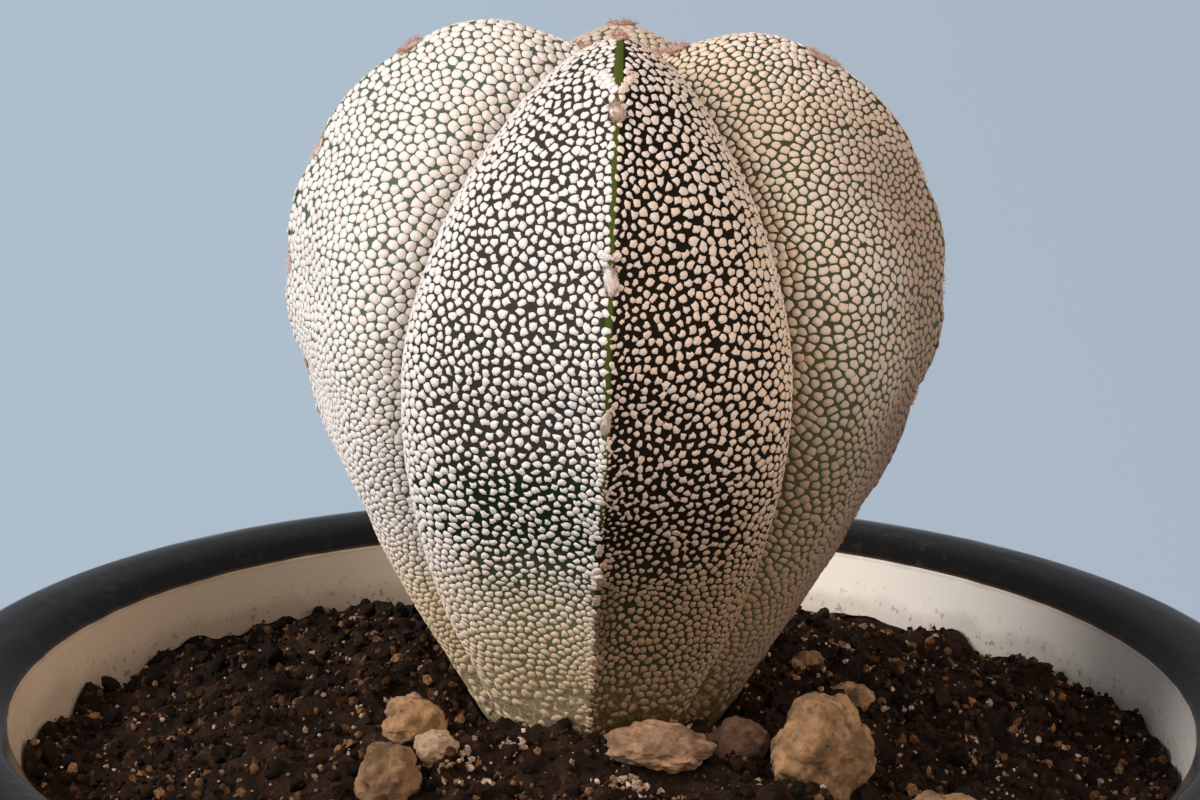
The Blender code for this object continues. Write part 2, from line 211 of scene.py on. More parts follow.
def placed(mesh, name, material, sharp=180.0):
    """Makes a piece from a mesh in metres, smooth but for edges sharper than so many degrees."""
    mesh.shade_smooth()
    if sharp < 180.0:
        mesh.set_sharp_from_angle(angle=math.radians(sharp))
    mesh.materials.append(material)
    piece = bpy.data.objects.new(name, mesh)
    bpy.context.scene.collection.objects.link(piece)
    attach(piece, "root")
    return piece


def note(mesh, name, values):
    """Stores one number for each vertex, for the finish to read."""
    layer = mesh.attributes.new(name, "FLOAT", "POINT")
    layer.data.foreach_set("value", np.asarray(values, np.float32))


def inner_wall_radius(height):
    up = (height - FLOOR_HEIGHT) / (MOUTH_HEIGHT - FLOOR_HEIGHT)
    return FLOOR_RADIUS + (MOUTH_RADIUS - FLOOR_RADIUS) * up


def pot_outline():
    """The pot's profile: over the rim, down outside, over the foot and through the drain, up inside."""
    crown = 0.5 * (MOUTH_RADIUS + RIM_RADIUS)
    mouth = arc((MOUTH_RADIUS + MOUTH_EDGE, MOUTH_HEIGHT - MOUTH_EDGE), MOUTH_EDGE, 180, 120, 5)
    top = [(MOUTH_RADIUS + 1.5, 96.5), (crown - 2.6, 96.9), (crown - 1.2, 97.1), (crown, 97.19),
           (crown + 0.8, POT_HEIGHT)]
    round_over = arc((RIM_RADIUS - RIM_ROUND, POT_HEIGHT - RIM_ROUND - 0.2), RIM_ROUND, 78, 0, 10)
    outside = line(round_over[-1], (RIM_RADIUS, RIM_UNDERSIDE + LIP_ROUND), 4)
    lip = arc((RIM_RADIUS - LIP_ROUND, RIM_UNDERSIDE + LIP_ROUND), LIP_ROUND, 0, -80, 6)
    neck = [(NECK[0] + 1.2, RIM_UNDERSIDE - 0.35), (NECK[0] + 0.35, RIM_UNDERSIDE - 1.1), NECK]
    wall = line(NECK, (FOOT_RADIUS, FOOT_TURN), 16)
    foot = [(FOOT_RADIUS, FOOT_TURN), (FOOT_RADIUS - 0.5, 1.5), (FOOT_RADIUS - 1.1, 0.6),
            (FOOT_RING[0] + 0.2, 0.08), (FOOT_RING[0] - 0.2, 0.0), (FOOT_RING[1] + 0.2, 0.0),
            (FOOT_RING[1] - 0.2, 0.15), (FOOT_RING[1] - 0.8, FOOT_HEIGHT)]
    drain = [(DRAIN_RADIUS + 0.4, FOOT_HEIGHT), (DRAIN_RADIUS, FOOT_HEIGHT + 0.4),
             (DRAIN_RADIUS, FLOOR_HEIGHT - 0.4), (DRAIN_RADIUS + 0.4, FLOOR_HEIGHT)]
    corner_radius = inner_wall_radius(FLOOR_HEIGHT + FLOOR_ROUND)
    corner = arc((corner_radius - FLOOR_ROUND, FLOOR_HEIGHT + FLOOR_ROUND), FLOOR_ROUND, -90, 0, 6)
    inside = line(corner[-1], (MOUTH_RADIUS, MOUTH_HEIGHT - MOUTH_EDGE), 26)
    return mouth + top + round_over + outside + lip + neck + wall + foot + drain + corner + inside


def depth_inside(point):
    """How far down the inside a point of the pot lies, or, below 0, how far it is out over the rim."""
    r, z = point.xy.length, point.z
    if z > FLOOR_HEIGHT - 0.2 and r < min(inner_wall_radius(z) + 2.0, MOUTH_RADIUS + 0.1):
        return MOUTH_HEIGHT - z
    return -max(math.hypot(r - MOUTH_RADIUS, z - MOUTH_HEIGHT), 0.1)


def pot_finish():
    glaze = Finish("black and cream glaze", Roughness=0.1, Coat_Roughness=0.04, IOR=1.34,
                   Specular_IOR_Level=0.25)
    depth = glaze.read("depth") + 0.5 * glaze.noise(0.25, 2.0) - 0.25
    height = glaze.node("SeparateXYZ", None, {"Vector": glaze.place}, "Z") * (1.0 / MM)
    inside = glaze.step(depth, -0.05, 0.3)
    broken = glaze.step(depth, -0.5, -0.1) * (1.0 - glaze.step(depth, 0.25, 0.7))
    bare = 1.0 - glaze.step(height + 1.6 * glaze.noise(0.12, 2.0), 2.6, 3.2)

    specks = 1.0 - glaze.step(glaze.cells(0.55), 0.05, 0.13)
    specks = specks * glaze.step(glaze.noise(0.2, 1.0), 0.5, 0.62)
    wash = glaze.noise(0.03, 4.0)
    cream = glaze.mix(wash, CREAM_GLAZE, [c * k for c, k in zip(CREAM_GLAZE, CREAM_SHADE)])
    cream = glaze.mix(0.55 * specks, cream, BROKEN_GLAZE)
    across = glaze.node("SeparateXYZ", None, {"Vector": glaze.place}, "X") * (1.0 / MM)
    # The right of the inner wall is whitened: a painted highlight and reflection of the window.
    cream = glaze.mix(0.6 * glaze.step(across, 5.0, 32.0), cream, REFLECTION_WHITE)
    # The left of the inner wall is tanned: painted warm shade, where it faces away from the window.
    cream = glaze.mix(0.55 * glaze.step(across + 30.0 * wash, 25.0, -35.0), cream, SHADE_TAN)
    splash = glaze.step(glaze.read("depth") + 5.5 * glaze.noise(0.11, 5.0, 0.65), 5.8, 8.0)
    cream = glaze.mix(0.3 * splash, cream, SOIL_STAIN)
    grains = glaze.step(glaze.noise(1.3, 3.0), 0.6, 0.66) * glaze.step(glaze.read("depth"), 1.5, 6.0)
    cream = glaze.mix(0.5 * grains, cream, [0.6 * c for c in SOIL_STAIN])

    dust = glaze.step(glaze.noise(0.5, 5.0, 0.7), 0.52, 0.8)
    black = glaze.mix(0.05 * dust, BLACK_GLAZE, GLAZE_DUST)
    colour = glaze.mix(inside, black, cream)
    colour = glaze.mix(0.3 * broken, colour, BROKEN_GLAZE)
    clay = glaze.mix(glaze.noise(1.5, 4.0), BARE_CLAY, [0.7 * c for c in BARE_CLAY])
    colour = glaze.mix(bare, colour, clay)

    rough = 0.10 + 0.10 * dust + 0.12 * inside + 0.35 * splash * inside
    roughness = rough + 0.75 * bare
    ripple = glaze.noise(0.05, 2.0) + 0.08 * glaze.noise(0.8, 2.0) + 0.35 * bare * glaze.noise(4.0, 3.0)
    return glaze.use(Base_Color=colour, Roughness=roughness, Coat_Weight=0.08 * (1.0 - bare),
                     Normal=glaze.bump(ripple, 0.35))


pot_bm = turned(pot_outline(), POT_STEPS)
pot_depths = [depth_inside(v.co) for v in pot_bm.verts]
pot = finished(pot_bm, "glazed_pot", pot_finish(), sharp=50.0)
note(pot.data, "depth", pot_depths)
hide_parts("pot")

# The shard is a broken piece of an old terracotta pot, laid hollow side down over the drain hole.
# It keeps the mix in and lets the water out. Its solid in the frame is right and stays.
TERRACOTTA = (0.50, 0.20, 0.095)
LIME = (0.62, 0.50, 0.42)

clay = Finish("weathered terracotta", Roughness=0.88)
bloom = clay.step(clay.noise(0.12, 5.0, 0.65), 0.5, 0.68)
grain = clay.noise(2.5, 4.0, 0.7)
body_colour = clay.mix(grain, TERRACOTTA, [0.62 * c for c in TERRACOTTA])
clay_colour = clay.mix(0.6 * bloom, body_colour, LIME)
clay.use(Base_Color=clay_colour, Normal=clay.bump(grain + 0.6 * bloom, 0.12))
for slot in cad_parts["drain_crock"].material_slots:
    slot.material = clay.material

# The soil is a dark potting mix of peat, bark and grit, poured round the roots and pressed down a little.
# It lies lower at the wall, and its hole follows the neck and the taproot of the plant.
SOIL_AT_PLANT = 0.8           # heights over the mouth of the pot
SOIL_AT_WALL = -6.2
MOUND_RADIUS = 17.0
SOIL_LUMP = 2.0
SOIL_GAP = 0.3                # over the floor of the pot
SOIL_WALL_GAP = 0.4
SOIL_RINGS = 104
SOIL_STEPS = 360
CRUMB_RELIEF = 0.55           # of the fine crumbs that are part of the surface
SOIL_HEIGHT = MOUTH_HEIGHT + SOIL_AT_PLANT
ROOT_HOLE = [(13.2, 1.4), (12.25, -0.5), (9.55, -4.0), (7.55, -10.0), (5.35, -19.0),
             (2.15, -30.0), (0.0, -32.3)]     # radius and height over the soil at the plant
LEAN = 0.95                   # of the plant and its hole, towards +X, in degrees
PEAT = (0.010, 0.0055, 0.0035)
HUMUS = (0.042, 0.020, 0.0105)
STRAW = (0.20, 0.105, 0.05)


def blend(low, high, value):
    """A smooth step from 0 at low to 1 at high, for numbers and for arrays."""
    t = np.clip((value - low) / (high - low), 0.0, 1.0)
    return t * t * (3.0 - 2.0 * t)


def soil_level(x, y):
    """Height of the soil's surface: a low mound with lumps."""
    out = float(blend(MOUND_RADIUS, inner_wall_radius(MOUTH_HEIGHT), math.hypot(x, y)))
    mound = SOIL_AT_PLANT + (SOIL_AT_WALL - SOIL_AT_PLANT) * out
    lumps = noise.noise(Vector((x, y, 3.0)) * 0.16) + 0.6 * noise.noise(Vector((x, y, 9.0)) * 0.37)
    return MOUTH_HEIGHT + mound + SOIL_LUMP * lumps


def crumbs(x, y):
    """Fine relief from -1 to 1: rounded crumbs with dark cracks between them."""
    place = Vector((x, y, 5.0))
    near = noise.voronoi(place * 0.62)[0]
    fine = noise.voronoi(place * 1.45)[0]
    return 0.9 - 1.7 * near[0] + 0.5 * (0.5 - fine[0]) + 0.4 * noise.noise(place * 0.9)


def soil_finish():
    mix = Finish("peat and bark", Roughness=0.94, Specular_IOR_Level=0.12)
    lumps = mix.cells(0.9, output="Color")
    tone = mix.node("SeparateColor", {"mode": "RGB"}, {"Color": lumps}, "Red")
    colour = mix.mix(tone, PEAT, HUMUS)
    fibre = mix.step(mix.noise(1.1, 4.0, 0.7, stretch=(1.0, 0.35, 1.0)), 0.58, 0.7)
    colour = mix.mix(0.75 * fibre, colour, STRAW)
    dark = mix.step(mix.noise(0.35, 3.0), 0.4, 0.6)
    colour = mix.mix(0.6 * dark, colour, PEAT)
    relief = mix.noise(2.2, 6.0, 0.75) + 0.5 * mix.cells(2.6)
    return mix.use(Base_Color=colour, Normal=mix.bump(relief, 0.4))


top_radius = inner_wall_radius(MOUTH_HEIGHT + SOIL_AT_WALL)
soil_corner = inner_wall_radius(FLOOR_HEIGHT + FLOOR_ROUND)
hole = [(r, MOUTH_HEIGHT + z) for r, z in reversed(ROOT_HOLE)]
hole_edge = hole[-1][0]
top = [(hole_edge + (top_radius - hole_edge) * i / SOIL_RINGS, MOUTH_HEIGHT)
       for i in range(SOIL_RINGS + 1)]
corner = arc((soil_corner - FLOOR_ROUND, FLOOR_HEIGHT + FLOOR_ROUND), FLOOR_ROUND - SOIL_WALL_GAP, 0, -90, 4)
soil_bm = turned(hole[:-1] + top + corner + [(0.0, FLOOR_HEIGHT + SOIL_GAP)], SOIL_STEPS, closed=False)
for v in soil_bm.verts:
    x, y, z = v.co
    from_axis = v.co.xy.length
    if abs(z - MOUTH_HEIGHT) < 0.001 and from_axis > hole_edge - 0.01:
        edge = float(blend(top_radius, top_radius - 2.0, from_axis))
        level = soil_level(x, y) + CRUMB_RELIEF * edge * crumbs(x, y)
        inward = min(1.0, (inner_wall_radius(level) - SOIL_WALL_GAP) / from_axis)
        v.co = (x * inward, y * inward, level)
    elif hole[0][1] - 1.0 < z < MOUTH_HEIGHT - 0.001 and from_axis < hole_edge:
        v.co.z += SOIL_AT_PLANT
soil = finished(soil_bm, "potting_soil", soil_finish())
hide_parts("soil")

# The cactus is one grown body of four ribs that meet in a sunk crown, on a corky neck and a taproot.
# Its skin is waxy and dark green, and browner and yellower where the ribs press on each other. A crest's
# and a groove's radius and height, and the curve of the flank between them, give its whole shape.
CREST = [(11.9, -0.5), (15.5, 5.6), (19.6, 12.4), (23.8, 19.6), (27.3, 27.6), (29.5, 34.6), (30.1, 41.0),
         (28.7, 48.0), (25.6, 54.4), (19.6, 60.2), (12.2, 62.8), (5.0, 61.0), (0.5, 59.2)]
GROOVE = [(11.5, -0.5), (14.9, 5.4), (18.7, 11.9), (21.4, 18.8), (22.9, 26.2), (22.6, 32.6), (21.2, 38.8),
          (18.4, 45.0), (14.4, 50.6), (9.9, 54.8), (6.2, 57.2), (3.2, 58.4), (0.45, 59.1)]
KEEL_ANGLE = [12, 16, 18, 20, 22, 24, 26, 26, 28, 30, 32, 30, 10]     # at each of those points, in degrees
GROOVE_ANGLE = [72, 60, 48, 36, 24, 12, 6, 4, 4, 5, 8, 20, 60]
ROOT = [(11.7, -0.5), (9.2, -4.0), (7.2, -10.0), (5.0, -19.0), (1.8, -30.0)]
ROOT_TIP = -32.0
RIB_NAMES = ("front", "right", "back", "left")
RIB_BEARING = np.array((-91.2, -1.5, 90.0, 178.5))      # in degrees
RIB_RISE = np.array((1.1, 0.0, -1.6, 0.4))              # of the upper part of each rib
GROOVE_BEARING = np.array((-48.5, 44.0, 135.0, 221.6))  # the groove after each of those ribs
GROOVE_REACH = np.array((0.965, 1.0, 1.0, 1.0))
TWIST = -4.0                  # of the foot against the upper part, in degrees
TWIST_HEIGHT = 36.0
HUMP_START = 30.0             # height from which the ribs rise unevenly
KEEL_HANDLE = 0.34            # arms of the flank's curve, in widths of the flank
GROOVE_HANDLE = 0.34
TIGHT_HANDLE = 0.2            # longer where the groove is narrow
FLANK_DROP = 1.6              # how late the flank drops to its groove
AREOLES = np.array(((0.21, 0.27, 0.41, 0.56, 0.72, 0.84),
                    (0.24, 0.36, 0.49, 0.62, 0.76, 0.91),
                    (0.22, 0.33, 0.45, 0.58, 0.71, 0.83),
                    (0.25, 0.37, 0.49, 0.62, 0.75, 0.94)))  # along each crest, 0 at the soil, 1 at the crown
AREOLE_NOTCH = 0.55
AREOLE_NOTCH_LENGTH = 0.028
HALF_RIB_COLUMNS = 30
BODY_ROWS = 170
ROOT_STEPS = 3                # rows of mesh to each row of the taproot's outline
WAXY_GREEN = (0.010, 0.028, 0.012)
# Painted shade for the front rib's right flank, and a painted sheen of the window for its left flank.
FLANK_SHADE_BROWN = (0.010, 0.0046, 0.0020)
FLANK_SHEEN_GREY = (0.040, 0.034, 0.030)
FADED_GREEN = (0.235, 0.275, 0.118)
HAZY_GREEN = (0.085, 0.120, 0.088)     # of the left and the back rib
OLIVE_BROWN = (0.062, 0.069, 0.035)    # of the right rib
YOUNG_GREEN = (0.080, 0.105, 0.016)
GROOVE_YELLOW = (0.130, 0.105, 0.040)
SHADED_BROWN = (0.020, 0.014, 0.010)
CORK = (0.94, 0.74, 0.47)
CORK_SHADE = (0.34, 0.28, 0.17)
ROOT_SKIN = (0.36, 0.26, 0.17)


def along(values, t):
    """A smooth curve through evenly spaced values, read at an array of t from 0 to 1."""
    values = np.asarray(values, float)
    last = len(values) - 1
    i = np.minimum((t * last).astype(int), last - 1)
    f = t * last - i
    b, c = values[i], values[i + 1]
    a = np.where(i > 0, values[np.maximum(i - 1, 0)], 2 * b - c)
    d = np.where(i + 2 <= last, values[np.minimum(i + 2, last)], 2 * c - b)
    bend = (2 * a - 5 * b + 4 * c - d) * f ** 2 + (3 * b - a - 3 * c + d) * f ** 3
    return 0.5 * (2 * b + (c - a) * f + bend)


def planted(points):
    """Moves points of the upright plant to their leaning places in the pot."""
    lean = np.array(Matrix.Rotation(math.radians(LEAN), 3, "Y"))
    return points @ lean.T + (0.0, 0.0, SOIL_HEIGHT)


def skin(rib, side, s, t):
    """Points of the skin, from crest (s 0) to groove (s 1) and from soil (t 0) to crown (t 1)."""
    crest_r, crest_z = (along([point[i] for point in CREST], t) for i in (0, 1))
    groove_r, groove_z = (along([point[i] for point in GROOVE], t) for i in (0, 1))
    groove = np.where(side > 0, rib, (rib - 1) % 4)
    twist = TWIST * np.maximum(1.0 - crest_z / TWIST_HEIGHT, 0.0) ** 2
    crest_z = crest_z + RIB_RISE[rib] * np.clip((crest_z - HUMP_START) / HUMP_START, 0.0, 1.0) ** 1.5
    groove_r = groove_r * GROOVE_REACH[groove]
    notch = np.exp(-((t[:, None] - AREOLES[rib]) / AREOLE_NOTCH_LENGTH) ** 2).sum(axis=1)
    crest_r = crest_r - AREOLE_NOTCH * notch * blend(0.0, 0.3, t) * blend(1.0, 0.95, t)

    bearing = np.radians(RIB_BEARING[rib] + twist)
    turn = np.radians(GROOVE_BEARING[groove] - RIB_BEARING[rib])
    turn = (turn + math.pi) % (2 * math.pi) - math.pi
    keel = np.radians(along(KEEL_ANGLE, t))
    opening = np.radians(along(GROOVE_ANGLE, t))
    crest = np.stack((crest_r, 0.0 * crest_r), 1)
    valley = np.stack((groove_r * np.cos(turn), groove_r * np.sin(turn)), 1)
    width = np.linalg.norm(crest - valley, axis=1)[:, None]
    hold = (GROOVE_HANDLE + TIGHT_HANDLE * np.maximum(1.0 - opening / (0.25 * math.pi), 0.0))[:, None]
    towards = turn - side * opening
    crest_arm = crest + KEEL_HANDLE * width * np.stack((-np.sin(keel), side * np.cos(keel)), 1)
    valley_arm = valley + hold * width * np.stack((np.cos(towards), np.sin(towards)), 1)
    k = s[:, None]
    flat = (1 - k) ** 3 * crest + 3 * (1 - k) ** 2 * k * crest_arm
    flat = flat + 3 * (1 - k) * k ** 2 * valley_arm + k ** 3 * valley
    x = flat[:, 0] * np.cos(bearing) - flat[:, 1] * np.sin(bearing)
    y = flat[:, 0] * np.sin(bearing) + flat[:, 1] * np.cos(bearing)
    return np.stack((x, y, crest_z + (groove_z - crest_z) * s ** FLANK_DROP), 1)


def sheet_places(co):
    """Rib, side, s and row of the points of a unit sphere with its rings laid along the ribs."""
    columns = 8 * HALF_RIB_COLUMNS
    rows = ROOT_STEPS * len(ROOT) + BODY_ROWS
    row = np.rint((1.0 - np.arccos(np.clip(co[:, 2], -1, 1)) / math.pi) * rows) - ROOT_STEPS * len(ROOT)
    column = np.rint(np.arctan2(co[:, 1], co[:, 0]) / (2 * math.pi) * columns).astype(int) % columns
    rib = ((column + HALF_RIB_COLUMNS) // (2 * HALF_RIB_COLUMNS)) % 4
    offset = (column - 2 * HALF_RIB_COLUMNS * rib + columns // 2) % columns - columns // 2
    return rib, np.where(offset >= 0, 1, -1), np.abs(offset) / HALF_RIB_COLUMNS, row


def body_points(co):
    """Places of the body's points from those of a unit sphere, with their s, side and rib."""
    rib, side, s, row = sheet_places(co)
    t = np.clip(row / BODY_ROWS, 0.0, 1.0)
    points = skin(rib, side, s, t)
    under = row < 0
    depth = np.clip(-row / ROOT_STEPS, 0, len(ROOT) - 1)
    share = np.interp(depth, range(len(ROOT)), [r / ROOT[0][0] for r, z in ROOT])
    points[under, :2] *= share[under, None]
    points[under, 2] = np.interp(depth, range(len(ROOT)), [z for r, z in ROOT])[under]
    points[row == BODY_ROWS] = (0.0, 0.0, GROOVE[-1][1] + 0.05)
    points[row == -ROOT_STEPS * len(ROOT)] = (0.0, 0.0, ROOT_TIP)
    return planted(points), s, side, rib


def skin_finish():
    green = Finish("waxy green skin", Roughness=0.42, Specular_IOR_Level=0.06)
    height = green.node("SeparateXYZ", None, {"Vector": green.place}, "Z") * (1.0 / MM) - SOIL_HEIGHT
    groove = green.read("groove")
    mottle = green.noise(0.14, 4.0)
    front, flank, side_rib = green.read("front"), green.read("flank"), green.read("side_rib")
    right = green.step(flank, 0.1, 0.7)
    colour = green.mix(0.5 * mottle, WAXY_GREEN, SHADED_BROWN)
    # The front rib's right flank is painted dark brown as shade, and its left flank grey above the waist as
    # a painted sheen.
    colour = green.mix(0.9 * green.step(front, 0.1, 0.7), colour, FLANK_SHADE_BROWN)
    colour = green.mix(0.9 * green.step(front, -0.1, -0.7), colour, FLANK_SHEEN_GREY)
    colour = green.mix(green.step(side_rib, -0.1, -0.7), colour, HAZY_GREEN)
    colour = green.mix(green.step(side_rib, 0.1, 0.7), colour, OLIVE_BROWN)
    upper = green.step(height, 57.0, 62.0)
    keel = (1.0 - green.step(groove - 0.018 * upper, 0.008, 0.024)) * green.step(height, 22.0, 28.0)
    colour = green.mix(0.85 * keel, colour, YOUNG_GREEN)
    # Low down the skin fades, but much less on the right flanks, which stay darker as painted shade.
    low = green.step(height + 5.0 * green.noise(0.2, 3.0), 25.0, 13.0)
    colour = green.mix(0.85 * low * (1.0 - 0.85 * right), colour, FADED_GREEN)
    tight = green.step(groove + 0.12 * mottle, 0.84, 1.02) * green.step(height, 22.0, 34.0)
    colour = green.mix(0.8 * tight, colour, GROOVE_YELLOW)
    corky = height + 4.0 * green.noise(0.3, 4.0) - 6.0 * green.step(side_rib, -0.1, -0.7)
    corky = 1.0 - green.step(corky, 4.5, 11.5)
    cracks = green.step(green.noise(1.6, 5.0, 0.75, stretch=(1.0, 1.0, 0.6)), 0.36, 0.62)
    bark = green.mix(cracks, CORK, [0.4 * c for c in CORK])
    # On the right flanks the cork is multiplied by CORK_SHADE: painted shade.
    bark = green.mix(right, bark, CORK_SHADE, "MULTIPLY")
    colour = green.mix(corky, colour, bark)
    under = 1.0 - green.step(height, -2.0, 0.0)
    colour = green.mix(under, colour, ROOT_SKIN)
    pores = green.noise(2.6, 4.0, 0.7)
    relief = pores + 4.0 * corky * (green.noise(0.9, 5.0, 0.7, stretch=(1.0, 1.0, 0.45)) - 0.5 * cracks)
    return green.use(Base_Color=colour, Roughness=0.36 + 0.2 * pores + 0.4 * corky,
                     Normal=green.bump(relief, 0.12))


body_bm = bmesh.new()
bmesh.ops.create_uvsphere(body_bm, u_segments=8 * HALF_RIB_COLUMNS,
                          v_segments=ROOT_STEPS * len(ROOT) + BODY_ROWS, radius=1.0)
sphere = np.array([v.co for v in body_bm.verts])
body_co, body_s, body_side, body_rib = body_points(sphere)
for v, co in zip(body_bm.verts, body_co):
    v.co = co
bmesh.ops.recalc_face_normals(body_bm, faces=body_bm.faces)
body = finished(body_bm, "cactus_body", skin_finish())
note(body.data, "groove", body_s)
body_height = body_co[:, 2] - SOIL_HEIGHT
# Where the front rib's right flank takes painted shade, above the foot, and its left flank a painted sheen,
# above the waist.
shade_or_sheen = np.where(body_side > 0, blend(4.0, 14.0, body_height), -blend(25.0, 34.0, body_height))
note(body.data, "front", (body_rib == 0) * shade_or_sheen)
note(body.data, "side_rib", 1.0 * (body_rib == 1) - (body_rib > 1))
# flank is 1 on the right rib and the front's right flank, which the skin's finish keeps darker as painted
# shade, and -1 on the left ones.
note(body.data, "flank", 1.0 * (body_rib == 1) - (body_rib == 3) + (body_rib == 0) * body_side)
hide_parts("cactus")

# The flecks are scales of white felt, each one a tuft of matted hairs pressed flat on the skin. They
# crowd each other into rounded many-sided shapes, lie in slanting rows on the flanks, are long and
# narrow where the neck stretches them, and are worn and brown at the foot.
FLECK_SIDES = 8
FLECK_BEVEL = 0.15            # of its half width, the slope round a fleck's top
FLECK_SUNK = 0.07
FLECK_THICKNESS = (0.045, 0.10)
FLECK_REACH = (0.11, 0.85)    # of the shortest and the longest spoke of an outline
FLECK_BRIDGES = 0.131         # share of the pairs of near neighbours that are grown together
FLECK_TRIES = 150000
FLECK_NEIGHBOURS = 14         # so many may limit a fleck's outline
OPEN = 9.0                    # room for a spoke that meets nothing
PUSH_ROUNDS = 4               # of pushing apart, which evens out the crowd
PUSH_NEIGHBOURS = 7
PUSH_SHARE = 0.2
PUSH_REACH = 1.55             # in spacings of the flecks
CROWD_CELL = 1.3              # side of the boxes in which the crowd is kept
CROWD_REACH = 2.5             # square of the longest distance at which two flecks are held apart
FRONT_ASIDE = (300.0, 0.0, 0.0)
FELT_SEED = 7
RIDGE_TRIES = 1500            # for the small pressed flecks that ride on the lower crest
RIDGE_END = 0.41              # they reach up to this areole
CREST_TURN = 1.5              # how strongly flecks beside a crest face out along the rib
CREST_BAND = 0.55
PAD_HALF = (0.75, 1.5)        # half width and half length of the bare place round a pad
ARM_START, ARM_SLOPE, ARM_REACH = 1.2, 0.8, 2.9
ARM_WIDTH = 0.42
FELT_WHITE = (0.92, 0.885, 0.86)
FELT_PINK = (0.88, 0.69, 0.58)
FELT_TAN = (0.82, 0.58, 0.34)
FELT_CORK = (0.74, 0.58, 0.38)
FELT_FRINGE = (0.013, 0.009, 0.006)
FELT_DUSK = (0.46, 0.32, 0.24)         # between the matted hairs
draw = np.random.default_rng(FELT_SEED)


def flank_frames(rib, side, s, t):
    """Points of the skin with their directions towards the groove, up the rib and out."""
    reach = 0.002
    s_in, t_in = np.clip(s, reach, 1 - reach), np.clip(t, reach, 1 - reach)
    across = skin(rib, side, s_in + reach, t) - skin(rib, side, s_in - reach, t)
    up = skin(rib, side, s, t_in + reach) - skin(rib, side, s, t_in - reach)
    width = np.linalg.norm(across, axis=1) / (2 * reach)
    length = np.linalg.norm(up, axis=1) / (2 * reach)
    lean = np.array(Matrix.Rotation(math.radians(LEAN), 3, "Y"))
    across = (across @ lean.T) / (2 * reach * width[:, None])
    out = np.cross(across, up @ lean.T) * side[:, None]
    out /= np.linalg.norm(out, axis=1)[:, None]
    bearing = np.radians(RIB_BEARING[rib])
    beside = np.stack((-np.sin(bearing), np.cos(bearing), 0.0 * bearing), 1)
    ridge = out - beside * (out * beside).sum(axis=1)[:, None]
    ridge /= np.linalg.norm(ridge, axis=1)[:, None]
    out = out + CREST_TURN * blend(CREST_BAND, 0.0, s * width)[:, None] * ridge
    out /= np.linalg.norm(out, axis=1)[:, None]
    across = across - out * (across * out).sum(axis=1)[:, None]
    across /= np.linalg.norm(across, axis=1)[:, None]
    up = np.cross(out, across) * side[:, None]
    return planted(skin(rib, side, s, t)), across, up, out, width, length


def areole_arms(rib, t, length, crest):
    """How near places lie to the felt arms of an areole, from 0 to 1, and whether they are on its pad."""
    above = (t[:, None] - AREOLES[rib]) * length[:, None]
    rise = above - ARM_START - ARM_SLOPE * crest[:, None]
    arm = np.exp(-(rise / ARM_WIDTH) ** 2).max(axis=1)
    arm = arm * blend(ARM_REACH, ARM_REACH - 0.8, crest) * blend(0.3, 0.45, t)
    pad = ((above / PAD_HALF[1]) ** 2 + (crest[:, None] / PAD_HALF[0]) ** 2).min(axis=1) < 1.0
    return arm, pad


